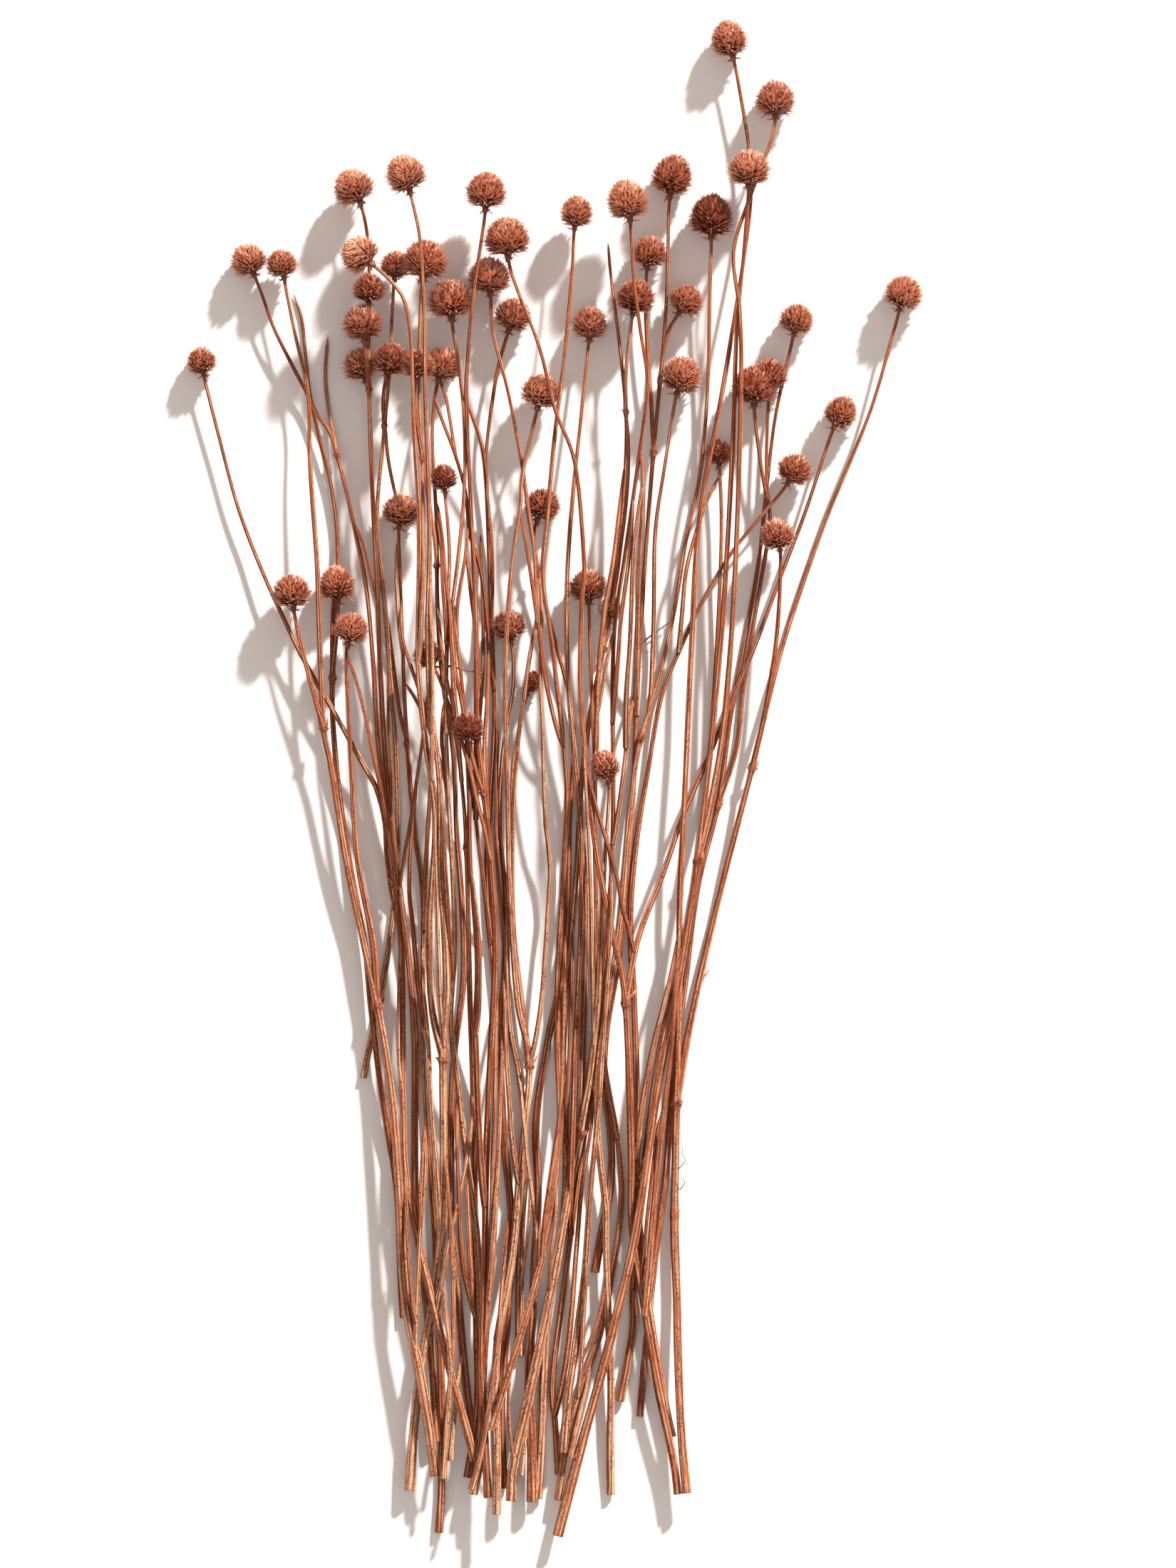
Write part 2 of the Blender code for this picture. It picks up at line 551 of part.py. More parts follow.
def centre_on_floor(things):
    """Put the middle of the bunch's footprint at the origin and its lowest point on the floor."""
    corners = np.array([v.co for thing in things for v in thing.data.vertices])
    low = corners.min(axis=0)
    high = corners.max(axis=0)
    shift = Vector((-(low[0] + high[0]) / 2, -(low[1] + high[1]) / 2, -low[2]))
    for thing in things:
        thing.data.transform(Matrix.Translation(shift))


def main():
    for thing in list(bpy.data.objects):
        bpy.data.objects.remove(thing)
    sprays = [make_spray(width, rows) for width, rows in SPRAYS]
    pile(sprays)
    things = []
    for number, branches in enumerate(sprays, start=1):
        material = stem_material()
        material.name = f"dry_flower_stem_{number:02d}"
        things.append(build_spray(number, branches, material))
    centre_on_floor(things)


main()
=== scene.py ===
"""A loose bunch of dried button-head flower stems, dressed for its picture.

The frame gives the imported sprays. Each spray gets ribbed stems, the slim stems that lie by
it, spiky round heads, ragged collars, dry leaf stubs and threads, as surfaces worked out
with numpy. The plan is read in millimetres, with X across the bunch and Y from the cut feet
to the heads; the pieces are in metres.
"""

import json

import bpy
import numpy as np
from bpy.props import FloatProperty, FloatVectorProperty, PointerProperty
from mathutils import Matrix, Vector

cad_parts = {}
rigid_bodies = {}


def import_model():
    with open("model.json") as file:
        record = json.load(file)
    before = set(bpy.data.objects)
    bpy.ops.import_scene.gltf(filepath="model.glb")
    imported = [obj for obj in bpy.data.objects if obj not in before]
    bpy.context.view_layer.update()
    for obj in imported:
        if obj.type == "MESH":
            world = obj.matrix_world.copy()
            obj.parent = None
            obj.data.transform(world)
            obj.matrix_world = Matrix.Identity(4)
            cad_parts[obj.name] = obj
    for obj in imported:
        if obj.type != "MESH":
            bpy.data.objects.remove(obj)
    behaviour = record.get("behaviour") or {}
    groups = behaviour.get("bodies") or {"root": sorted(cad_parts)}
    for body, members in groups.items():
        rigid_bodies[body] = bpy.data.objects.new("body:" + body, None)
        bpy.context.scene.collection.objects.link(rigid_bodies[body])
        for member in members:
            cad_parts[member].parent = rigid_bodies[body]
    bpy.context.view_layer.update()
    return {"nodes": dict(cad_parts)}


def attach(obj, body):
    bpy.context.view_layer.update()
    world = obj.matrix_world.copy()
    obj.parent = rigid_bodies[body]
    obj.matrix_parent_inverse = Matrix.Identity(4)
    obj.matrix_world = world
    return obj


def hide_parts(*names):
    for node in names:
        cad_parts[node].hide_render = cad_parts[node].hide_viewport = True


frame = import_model()

bl_info = {
    "name": "Dried button-head flower bunch",
    "version": (1, 0, 0),
    "blender": (4, 5, 0),
    "location": "3D View > Sidebar > Dried bunch",
    "description": "Dresses a laid bunch of dried, ribbed flower stems with round spiky heads",
    "category": "Add Mesh",
}

BODY = "root"

MM = 0.001
LAID = []
VECTORS = ("grain",)

# How the sprays are laid, as in their source: lengths in millimetres
RING_STEP = 38.0
SAMPLE_STEP = 1.5
NECK_RADIUS = 0.66
FORK_TAPER = 0.86
TAPER_POWER = 0.85
COLLAR_REACH = 5.0
COLLAR_SWELL = 1.22
COLLAR_CLEAR = 3.0
END_CLEAR = 2.0
FORK_BLEND = 12.0
PILE_GAP = 0.42
PILE_BLOCK = 200
PILE_WINDOW = 25.0
SAG = 0.0013
FOOT_CORNERS = 6

# How near a stem a slim one ends to meet it, and how long it takes to ease down to it, as a
# multiple of the drop
SLIM_REACH = 4.0
EASE = 2.5

# The stems' surface: lengths in millimetres, depths and swellings in shares of the radius,
# and EASE_REACH in samples
EASE_REACH = 4
STEM_STEP = 3.6
FOOT_RIM = 0.35
CLOSEST_STEP = 0.25
KNOT_STEPS = (-5.0, -3.2, -2.0, -1.3, -0.8, -0.3, 0.2, 0.8, 1.6, 2.8, 4.6)
RIDGES_MAIN = 6
RIDGES_SIDE = 5
RIDGE_STEPS = (0.0, 0.16, 0.5, 0.84)
RIDGE_DEPTHS = (-1.0, -0.2, 0.25, -0.2)
# How much painted shade each corner of a ridge takes: 1 at the groove bottom, 0 on the crest
RIDGE_SHADES = (1.0, 0.3, 0.0, 0.3)
RIDGE_UNEVEN = (0.25, 1.2)
TWIST = 0.006
WANDER = 0.06
WANDER_RUNS = (11.0, 29.0)
KNOT_REACH = 1.9
KNOT_SWELL = 0.14
LIP_BACK = 0.8
LIP_REACH = 0.6
LIP_SWELL = 0.16
MARK_SIZE = 0.6
TIP_REACH = 3.0
TIP_LEAST = 0.3
NECK_REACH = 9.0
TALL = 560.0
GRAIN_SPREAD = 300.0
BRANCH_TINT = 0.3
SKIN, CUT = 0, 1

# The heads, in shares of their own size where no unit is given
BRACT, CORE, DRY = 0, 1, 2
STEEP = 0.9
NOD_REACH = 6.0
NOD = 0.06
CORE_SHARE = 0.74
CORE_LEAST = 0.02
CORE_ROWS = 9
CORE_SIDES = 14
GOLDEN = 2.39996
LAST_BRACT = 152
LATTICE_WANDER = 0.05
BRACT_WANDER = 0.17
BRACT_ROOT = 0.72
BRACT_SPREAD = (0.78, 1.32)
BRACT_LEAST = 0.15
BRACT_TURN = 0.5
BRACT_WIDTHS = (0.8, 1.2)
LONG_SHARE = 0.06
LONG_REACH = 1.2
BRACT_KEEL = 0.2
BRACT_CURL = (-0.05, 0.4)
HEAD_NORM = 15.0
# Painted shade on a head's underside: bracts beyond SHADE_FROM degrees from the crown darken over
# SHADE_SPAN degrees
SHADE_FROM = 95
SHADE_SPAN = 50
TINT_WANDER = 0.36
CUP_PLACES = (1.1, 0.98, 0.88, 0.7)
CUP_SWELL = (0.0, 0.25, 0.75, 1.0)
CUP_WIDTH = 0.18
CUP_SIDES = 10
CUP_TINT = 0.1
SEPAL_COUNT = (5, 9)
SEPAL_LEAN = (-0.8, 0.4)
SEPAL_PLACE = 0.88
SEPAL_LENGTH = (1.3, 3.2)
SEPAL_WIDTH = (0.8, 1.5)
SEPAL_JITTER = 0.3
SEPAL_ROOT = 0.8
SEPAL_KEEL = 0.3
SEPAL_CURL = (-0.5, 0.6)
SEPAL_TINTS = (0.1, 0.6)
SCALE_SHARES = (0.0, 0.42, 0.72)
SCALE_WIDTHS = (0.8, 1.0, 0.5)
COLLAR_SCALES = 8
COLLAR_TINTS = (0.0, 0.55)
COLLAR_ROOT = 0.98
COLLAR_SHIFT = (-1.8, -0.4)
COLLAR_LEAN = (0.1, 0.5)
COLLAR_WIDTH = (0.8, 1.3)
COLLAR_LENGTH = (1.2, 2.4)
COLLAR_CURL = (0.0, 0.6)
STUB_ROOT = 0.5
STUB_WIDTH = 2.0
STUB_CURL = (-0.5, -0.15)
STUB_KEEL = 0.25
STUB_RISE = 0.25
STUB_UP = 0.5
STUB_TINTS = (0.3, 0.9)
THREAD_SIDES = 6
THREAD_RISE = 2.5
THREAD_TIP = 0.35
THREAD_TINT = 0.1
HEAD_TINTS = (0.42, 1.0)
DARK_TINT = 0.1
DARK_HEADS = ((14, 0), (15, 0), (16, 1), (5, 0), (9, 0))
PALE_TINT = 1.0
PALE_HEADS = ((1, 0),)

# The stage, in millimetres where no unit is given
PHOTO_MIDDLE = (0.0, 298.3)
PHOTO_TALL = 619.1
LOOK_HEIGHT = 12.0
SENSOR = 36.0
CLIP_END = 100.0
FLOOR_HALF = 2.5
FLOOR_DROP = -0.0002
FLOOR_RELIEF = 0.00002
FLOOR_CLOUDS = (40, 40, 0.3, 0.7)
FLOOR_FINE = (1.5, 1.5, 0.3, 0.7)
FLOOR_DIM = 0.985
KEY_COLOUR = (1.0, 0.965, 0.92)
FILL_COLOUR = (1.0, 0.89, 0.82, 1.0)

STEM_SEED = 11
HEAD_SEED = 23
STUB_SEED = 37

# The shader's gloss where nothing else is given, and the dull and glossy pieces'
GLOSS = 0.5
STEM_GLOSS = 0.18
BRACT_GLOSS = 0.6
FLOOR_GLOSS = 0.1

# How rough each surface is where its own mask is 0 and where it is 1
STEM_ROUGH = (0.52, 0.8)
CUT_ROUGH = (0.8, 0.95)
BRACT_ROUGH = (0.55, 0.34)
CORE_ROUGH = (0.95, 0.8)
DRY_ROUGH = (0.65, 0.85)
FLOOR_ROUGH = (0.8, 0.9)

# Grain masks: the size across and along in millimetres, and where the noise is cut
FIBRES = (0.22, 11, 0.46, 0.6)
PITS = (0.3, 0.3, 0.45, 0.62)
MOTTLE = (0.9, 0.9, 0.36, 0.6)
FINE = (0.28, 0.28, 0.45, 0.68)
HEART = (0.5, 0.5, 0.4, 0.65)
LEAF = (0.45, 0.45, 0.4, 0.66)

# Layers laid one over another: a colour, and the factors of its mask. A factor is a number,
# a grain mask, the name of a stored value, or that name with the range that is taken from
# and the strength at each end.
STEM_LOW = (
    ("red", (1.3, 9, 0.5, 0.6), ("tint", 0.0, 1.0, 0.45, 0.9)),
    ("pale", (0.9, 16, 0.52, 0.7), 0.45),
    ("pale", ("tint", 0.05, 0.45, 0.85, 0.0), ("height", 0.4, 0.85, 1.0, 0.25)),
    # Dark streaks on dark stems, drawn in the same dark colour as the painted groove shade
    ("groove", ("tint", 0.7, 1.0, 0.0, 0.75), (2.5, 60, 0.36, 0.56)),
    ("speck", (3.2, 24, 0.48, 0.6), ("tint", 0.1, 0.7, 0.25, 0.9)),
    ("red", (0.34, 26, 0.49, 0.55), ("height", 0.1, 0.6, 0.35, 0.7)),
    ("red", (0.75, 3.4, 0.5, 0.55), (2.2, 14, 0.42, 0.54), 0.75),
    ("pale", (0.29, 30, 0.53, 0.58), ("height", 0.1, 0.7, 0.6, 0.3)),
    # Fine dark fibres, drawn in the same dark colour as the painted groove shade
    ("groove", FIBRES, 0.6),
    # Painted highlight along the ridge crests, broken into streaks
    ("pale", ("groove", 0.0, 0.28, 1.0, 0.0), (0.8, 30, 0.44, 0.6), 0.35),
    # Painted shade on the ridges' flanks, in red, between the crests and the grooves
    ("red", ("groove", 0.02, 0.35, 0.0, 0.6)),
)
# Painted shade at the bottom of the grooves, stronger higher up and broken by grain
STEM_GROOVE_SHADE = (("groove", 0.1, 0.45, 0.0, 1.0), ("height", 0.1, 0.6, 0.75, 1.0))
GROOVE_SHADE_BREAKS = (1.1, 18, 0.35, 0.6)
GROOVE_SHADE_UNEVEN = (0.55, 1.0)
STEM_SPECKS = ((0.42, 1.0, 0.53, 0.58), (1.8, 9, 0.44, 0.54), ("height", 0.2, 0.9, 1.0, 0.6))
STEM_KNOTS = (
    ("red", "knot", 0.85),
    ("knot", "knot", (0.9, 1.2, 0.44, 0.56)),
    ("knot", ("neck", 0.1, 0.9, 0.0, 0.85)),
)
AGE_RANGE = (0.45, 1.1)
AGE_TINT = 0.5
AGE_START = 0.5
FIBRE_BUMP = -0.6
SPECK_BUMP = -0.2
CUT_LAYERS = (("red", PITS, 0.7), ("knot", ("share", 0.62, 0.95, 0.0, 1.0)))
DRY_LAYERS = (("bract", ("tint", 0.0, 1.0, 0.0, 0.6)),)
BRACT_LAYERS = (
    ("dark", FINE, 0.3),
    ("dark", ("edge", 0.5, 1.0, 0.0, 1.0), 0.25),
    # Painted shade on the head's underside
    ("dark", "shade", 0.25),
    # Painted shade between the bracts: each bract darkens to the core colour toward its root
    ("core", ("share", 0.06, 0.5, 0.96, 0.0)),
)
# Pale bract points, partly a painted highlight: pale-tinted bracts lighten toward their points
BRACT_PALE_AND_GLINT = (("tint", 0.35, 0.95, 0.1, 1.0), ("share", 0.35, 0.75, 0.0, 1.0))
BRACT_PATCHES = (0.35, 1.0)
BRACT_MAIN = ("tint", 0.0, 0.7, 0.0, 1.0)

# The sprays, from the bottom of the pile up. Each one is the width of its cut foot and its
# branches. A branch is a route of (x, y) points from the foot, or from its fork, to the
# neck, and its head: x, y, width and length, or None where the tip has lost its head.
SPRAYS = (
    (3.2, (
        ([(-59, 2), (-58, 20), (-57.8, 47), (-58.3, 70), (-59.5, 93), (-60.3, 115), (-61.7, 136),
          (-63.5, 158), (-64.7, 180), (-65.3, 205), (-65.3, 228), (-65, 245), (-66, 262),
          (-68, 275), (-70.5, 300), (-72.5, 330), (-73.5, 360), (-74.5, 388), (-74.8, 398)],
         (-74, 405.8, 14.5, 14.5)),
        ([(-71.5, 315), (-75, 330), (-79, 360), (-83.5, 388), (-85.5, 415), (-86.2, 445),
          (-87.5, 456)], (-89.8, 463.7, 14, 14)),
    )),
    (2.8, (
        ([(-89, 182), (-86.5, 194), (-80.8, 222), (-76.5, 252), (-75.3, 282), (-76, 312),
          (-78.3, 342), (-80.5, 372), (-83.3, 402), (-81, 432), (-78.6, 458), (-77.4, 482),
          (-76.7, 496)], (-76, 502.9, 12, 12)),
        ([(-80, 440), (-80.8, 448), (-80, 457)], (-77.7, 465.2, 14.5, 14.5)),
    )),
    (3.6, (
        ([(-60, 38), (-60.8, 55), (-63.5, 90), (-68, 126), (-68.5, 162), (-68.5, 198),
          (-71.3, 232), (-76, 268), (-79.8, 304), (-81.9, 340), (-83.2, 376), (-85, 412),
          (-86.2, 448), (-86.6, 484), (-86.3, 500), (-87, 514), (-89.3, 526)],
         (-92.6, 533.6, 15.5, 15.5)),
        ([(-86.3, 455), (-87.3, 464), (-88.2, 472)], (-89, 480, 15, 15)),
        ([(-86.6, 478), (-86.4, 486)], (-86.4, 493.6, 13, 13)),
    )),
    (3.4, (
        ([(-45, 42), (-48, 58), (-51, 92), (-54, 124), (-54.3, 158), (-53, 190), (-49.3, 220),
          (-49.8, 250), (-52, 280), (-53.2, 310), (-57.5, 340), (-59.4, 370), (-59.7, 400),
          (-61.3, 430), (-61.2, 443), (-59.8, 455)], (-57.4, 463.7, 14.5, 14.5)),
        ([(-59.4, 385), (-60.8, 398), (-65.3, 427), (-66.6, 458), (-66, 488), (-65.3, 496)],
         (-64.2, 504.3, 17, 17)),
        ([(-65.3, 427), (-67.3, 440), (-68.3, 452)], (-67, 463, 13, 13)),
    )),
    (3.5, (
        ([(-47.5, 24), (-45, 40), (-43.5, 58), (-44.5, 100), (-44.8, 142), (-45.6, 180),
          (-46.8, 218), (-47.5, 255), (-49, 291), (-53, 322), (-57.5, 337), (-60.5, 344)],
         (-63, 349, 12, 12)),
        ([(-48.2, 273), (-46.3, 290), (-43, 322), (-41.5, 354), (-42.5, 397)], None),
    )),
    (3.2, (
        ([(2.8, 105), (5, 118), (9, 140), (9, 160), (6.5, 180), (7.5, 202), (12, 229),
          (15.2, 258), (17.5, 288), (18.8, 318), (20.3, 352), (22.5, 385), (25.1, 420),
          (28, 452), (30.6, 482), (31.5, 505), (32, 526)], (33.2, 538.3, 15.5, 19)),
        ([(28.6, 458), (29.8, 470), (32.5, 479), (35, 483)], (38.8, 489.1, 13.5, 13.5)),
        ([(25.8, 430), (25, 448), (23.5, 470), (22.8, 485), (23.2, 500)],
         (24.5, 508.2, 13.5, 14)),
    )),
    (3.8, (
        ([(-20, 15.5), (-18.7, 35), (-17.5, 65), (-16, 88), (-10.5, 118), (-8.7, 148),
          (-10.3, 178), (-9.3, 208), (-6.8, 237), (-4.3, 267), (-2.7, 297), (0.8, 325),
          (6, 352), (10.5, 380), (13.8, 408), (15.2, 438), (13, 467), (9.3, 497), (7.9, 512)],
         None),
        ([(6, 352), (7.5, 358)], (9, 367.5, 9.5, 11)),
        ([(15, 445), (15, 460), (16.2, 472), (17.4, 482)], (18.8, 490, 15, 15)),
    )),
    (2.6, (
        ([(-11.8, 25), (-13, 45), (-14.2, 62), (-10.3, 93), (-6.3, 123), (-2.5, 152),
          (2.3, 180), (5, 210), (7.5, 240), (9.5, 270), (10, 300), (9.7, 330), (10.5, 360),
          (14.5, 388), (18.5, 416), (22.5, 444), (23.5, 458), (20.5, 478), (18, 498),
          (16.8, 518)], (15.5, 528, 15.5, 18)),
    )),
    (3.5, (
        ([(12.7, 54), (15.5, 68), (18, 85), (18, 98), (20.3, 126), (23.7, 158), (28, 190),
          (34, 218), (41, 248), (45.3, 280), (48.3, 312), (50.6, 345), (52.3, 380),
          (52.8, 398), (52.6, 412), (52, 422)], (51.8, 429, 11, 12)),
    )),
    (3.6, (
        ([(-33.5, 19.5), (-34.5, 50), (-32.5, 80), (-30.5, 110), (-30.5, 130), (-33, 155),
          (-34.2, 180), (-35.5, 205), (-38.5, 235), (-40, 265), (-38.5, 295), (-37, 325),
          (-38, 355), (-39, 385), (-40, 415), (-40.2, 430), (-37, 455), (-34.5, 467),
          (-31.8, 476)], (-29.8, 483.2, 14.5, 14.5)),
        ([(-34.4, 190), (-33.3, 225), (-33, 255), (-35, 285), (-33.5, 312), (-29.7, 335),
          (-29.4, 348), (-30.3, 354)], (-31.2, 360.7, 13.5, 13.5)),
    )),
    (3.4, (
        ([(-27, 72), (-27, 100), (-26.3, 125), (-25, 145), (-25.2, 165), (-27.5, 185),
          (-31, 205), (-32, 245), (-30.6, 285), (-29.8, 305), (-27.8, 318), (-25.8, 328),
          (-24, 334)], (-22.2, 338.5, 8, 11)),
    )),
    (4.2, (
        ([(-22.2, 14.5), (-22.3, 40), (-23.3, 62), (-21.5, 100), (-19.8, 135), (-20.5, 165),
          (-15.8, 197), (-10, 225), (-8, 255), (-7.3, 285), (-5.5, 315), (-8, 336),
          (-15, 362), (-20, 384), (-21.5, 396), (-20.3, 402)], (-18, 408.3, 14, 14)),
        ([(-20, 384), (-23.5, 404), (-26, 424), (-31.5, 453), (-37.3, 476), (-38.4, 490)],
         (-39, 498.4, 16, 16)),
    )),
    (3.2, (
        ([(-12, 15), (-8.5, 36), (-3.4, 57), (5, 82), (11, 114), (13.2, 135), (11.8, 157),
          (6.5, 187), (3.7, 217), (3.3, 247), (2.7, 277), (2.8, 300), (1.9, 322),
          (0.8, 352), (0.4, 367)], (0, 376, 15, 14)),
    )),
    (3.3, (
        ([(9, 17), (8.8, 41), (9, 62), (7.2, 110), (6.8, 132), (3.7, 161), (4.5, 190),
          (9, 218), (13.2, 248), (16, 282), (20, 312), (28, 340), (34.3, 368), (38.8, 395),
          (44.3, 421), (47.3, 455), (48.2, 495), (48.7, 512)], (48.7, 522.3, 16.5, 19)),
        ([(21.2, 317), (24.5, 330), (26, 362), (26.6, 397), (30.2, 423), (34.5, 450)],
         (36.9, 459.2, 15.5, 16.5)),
    )),
    (3.6, (
        ([(-45.3, 17.5), (-42.5, 33.5), (-41.5, 60), (-42.3, 90), (-44, 120), (-48, 150),
          (-51.5, 180), (-54.2, 205), (-52.5, 235), (-53.5, 265), (-55, 295), (-56, 325),
          (-55.5, 355), (-54.6, 385), (-55.2, 400), (-56.2, 411)], (-56.8, 418.7, 11, 12)),
        ([(-55.5, 355), (-51.5, 385), (-48.8, 415), (-49, 445), (-52, 470), (-53.6, 480)],
         (-54.3, 489, 17, 17)),
    )),
    (3.4, (
        ([(-39.5, 16.5), (-40.5, 35), (-42, 70), (-40.8, 110), (-40.3, 150), (-38.5, 190),
          (-36.5, 230), (-38, 265), (-41, 295), (-43.8, 325), (-44, 355), (-45.2, 385),
          (-46.5, 415), (-47.8, 445), (-47.8, 460), (-45.3, 490), (-41.8, 514),
          (-40.6, 523)], (-40.2, 531.6, 15.5, 16.5)),
        ([(-41, 295), (-44, 303), (-46, 311)], (-47.3, 320, 13, 13)),
    )),
    (3.2, (
        ([(-73, 87), (-74, 105), (-75.3, 135), (-79, 160), (-83, 186), (-86, 212),
          (-88.5, 236), (-94, 265), (-98.5, 295), (-101, 325), (-101, 345), (-100.8, 365),
          (-99, 390), (-101, 413), (-106, 434), (-110, 450), (-116, 462), (-124, 478),
          (-129, 492), (-131.7, 499)], (-134.2, 505.1, 14, 14)),
        ([(-101, 340), (-99.3, 358), (-98.8, 368)], (-99.3, 377, 14, 16)),
    )),
    (4.0, (
        ([(-70.6, 19), (-69, 42), (-65.6, 70), (-60.5, 98), (-57.3, 128), (-57, 160),
          (-57.2, 190), (-55.8, 222), (-57.8, 262), (-58.5, 300), (-62, 330), (-63, 360),
          (-62.3, 390), (-62.8, 420), (-63.9, 450), (-64.3, 480), (-65.8, 510), (-67.8, 522),
          (-69.7, 530)], (-71.8, 538, 15, 17)),
        ([(-57.2, 190), (-61.5, 210), (-62.5, 240), (-60, 285), (-64, 315), (-66.8, 345),
          (-66.5, 375), (-66.5, 405), (-68.3, 435), (-69.3, 465), (-70.2, 478), (-72.5, 489),
          (-77.5, 496), (-83.5, 501.5)], (-89.8, 506.5, 15, 15)),
    )),
    (3.6, (
        ([(-44.7, 31), (-48.4, 45), (-56, 72), (-65, 109), (-71.5, 140), (-73.2, 175),
          (-73.5, 225), (-76, 258), (-79, 282), (-83, 315), (-84.8, 345), (-87.5, 375),
          (-92, 398), (-97, 420), (-102, 437), (-109, 448), (-111.5, 465), (-113.2, 482),
          (-116.5, 492)], None),
        ([(-76, 258), (-77.5, 272), (-80.5, 290), (-90, 308), (-100, 326), (-110.5, 344),
          (-119, 361), (-129, 383), (-138.5, 408), (-146, 436), (-151.5, 458)],
         (-152.8, 465.2, 12, 12)),
        ([(-99, 428), (-102.3, 445), (-104, 460), (-103, 475)], None),
    )),
    (3.0, (
        ([(20.5, 48), (22, 65), (26, 106), (31, 146), (34, 185), (38.8, 222), (43.5, 258),
          (51.5, 290), (56, 322), (61.5, 352), (67.3, 385), (70.5, 414), (74, 443),
          (79.5, 468), (81, 474.5)], (82.4, 481.5, 13.5, 13.5)),
        ([(51.5, 290), (58.7, 312), (61.5, 337), (66, 365), (70.8, 393), (72, 404),
          (68.7, 422), (66, 443)], (65.6, 455, 17, 17)),
        ([(70.8, 413), (70.6, 428), (71, 442), (71.6, 452)], (71.8, 459.5, 14, 14)),
    )),
    (3.5, (
        ([(33, 40), (28, 66), (23.5, 95), (20, 125), (19, 150), (19.3, 175), (18.3, 212),
          (16.8, 245), (19.3, 276), (24, 305), (29, 333), (37, 353), (45.5, 371), (57, 390),
          (70, 406), (77.5, 415)], (81.6, 422.1, 13.5, 13.5)),
        ([(19.4, 141), (26, 158), (31, 173)], None),
    )),
    (4.3, (
        ([(-60.3, 25), (-63, 45), (-67, 68), (-71.5, 90), (-73.5, 112), (-74.5, 135),
          (-77.5, 175), (-83.3, 211), (-88, 232), (-95.5, 267), (-101.5, 305), (-104.5, 321),
          (-106, 355), (-107, 385), (-109.8, 425), (-110.5, 452), (-115.5, 475),
          (-119.7, 496)], (-121, 503.4, 12.5, 12.5)),
        ([(-104.5, 321), (-106.5, 328), (-110.5, 342), (-113.5, 354), (-116, 366)],
         (-117, 373.7, 15, 15)),
        ([(-83.3, 211), (-84.8, 235), (-91, 268), (-93.5, 305), (-95, 335), (-95.3, 351)],
         (-93.4, 359.3, 13.5, 13.5)),
    )),
    (3.6, (
        ([(-36, 10), (-36, 35), (-36.5, 58), (-35.5, 80), (-29.8, 112), (-27, 145),
          (-23.2, 187), (-28, 213), (-31, 257), (-32, 300), (-32.8, 330), (-32, 360),
          (-30, 385), (-26.7, 408), (-26, 420), (-22, 438), (-20.3, 445)],
         (-18.6, 452.8, 15, 15)),
        ([(-23.2, 187), (-26.2, 211), (-29.5, 240), (-30, 270), (-28.6, 305), (-24.2, 340),
          (-19.7, 367.5)], None),
    )),
    (3.0, (
        ([(-38.5, 43), (-34, 57), (-26, 83), (-18.5, 110), (-13.5, 136), (-11, 164),
          (-12, 195), (-11.8, 225), (-9.3, 270), (-8.5, 300), (-13.8, 350), (-17.8, 380),
          (-16, 404), (-13.3, 434), (-9.2, 468), (-6.3, 500), (-5.6, 515)],
         (-4.5, 523.7, 12.7, 14.6)),
    )),
    (4.4, (
        ([(-30.4, 15), (-29.5, 29), (-23.4, 56), (-17.7, 83), (-12, 112), (-6.5, 143),
          (-3.4, 160), (-2.3, 190), (-1, 235), (-1.5, 265), (-5.5, 310), (-8.2, 345),
          (-8.2, 380), (-6, 412), (-2.8, 443), (0.2, 472)], (0.8, 480, 13.5, 15)),
        ([(-3.4, 160), (1, 185), (4, 215), (5.3, 243), (6.8, 272), (8.3, 296)],
         (6.8, 305.3, 11.5, 14.5)),
    )),
    (3.4, (
        ([(35.5, 17.5), (33.5, 32), (27, 63), (22, 93), (17.3, 123), (17, 155), (14.8, 212),
          (9.5, 240), (3.5, 270), (0, 300), (-3, 335), (-2.5, 370), (-1.5, 385), (-5, 424),
          (-13, 446), (-19, 470), (-27, 491), (-31, 503)], (-32, 513.3, 17, 17)),
        ([(14.8, 212), (20, 238), (30, 264), (38, 287), (48, 310), (57, 332), (66, 353),
          (78, 385), (86, 406), (96, 436)], (99.9, 444.9, 13, 15)),
    )),
    (3.7, (
        ([(39, 18), (37, 40), (35.7, 70), (35, 100), (34.2, 128), (35.3, 185), (36, 220),
          (36.4, 255), (38.7, 305), (41, 355), (44, 403), (53, 453), (61, 502), (64, 525),
          (64.2, 545), (59.5, 575), (57.7, 584)], (55.7, 592.3, 14, 17)),
        ([(35, 172), (41, 206), (52, 254), (65, 305), (77, 353), (93, 400), (111, 444),
          (120.5, 476), (122.7, 484)], (124.7, 491.9, 15, 15)),
        ([(65, 305), (70.5, 330), (74.6, 358), (76, 387)], (74.8, 396.2, 13.5, 13.5)),
    )),
    (4.2, (
        ([(-12, 1), (-2.3, 38), (6, 68), (16.5, 110), (22, 140), (28, 180), (34, 210),
          (42, 258), (46.3, 292), (50, 328), (53.5, 368), (57, 430), (58.6, 475),
          (61.5, 508), (63.2, 530)], (63.6, 540.6, 16, 16)),
        ([(43.5, 268), (49, 293), (54, 325), (58, 380), (60.3, 450), (60, 483), (57.5, 508),
          (64, 530), (71.5, 550), (73.8, 559)], (74, 568.4, 15, 16)),
    )),
)

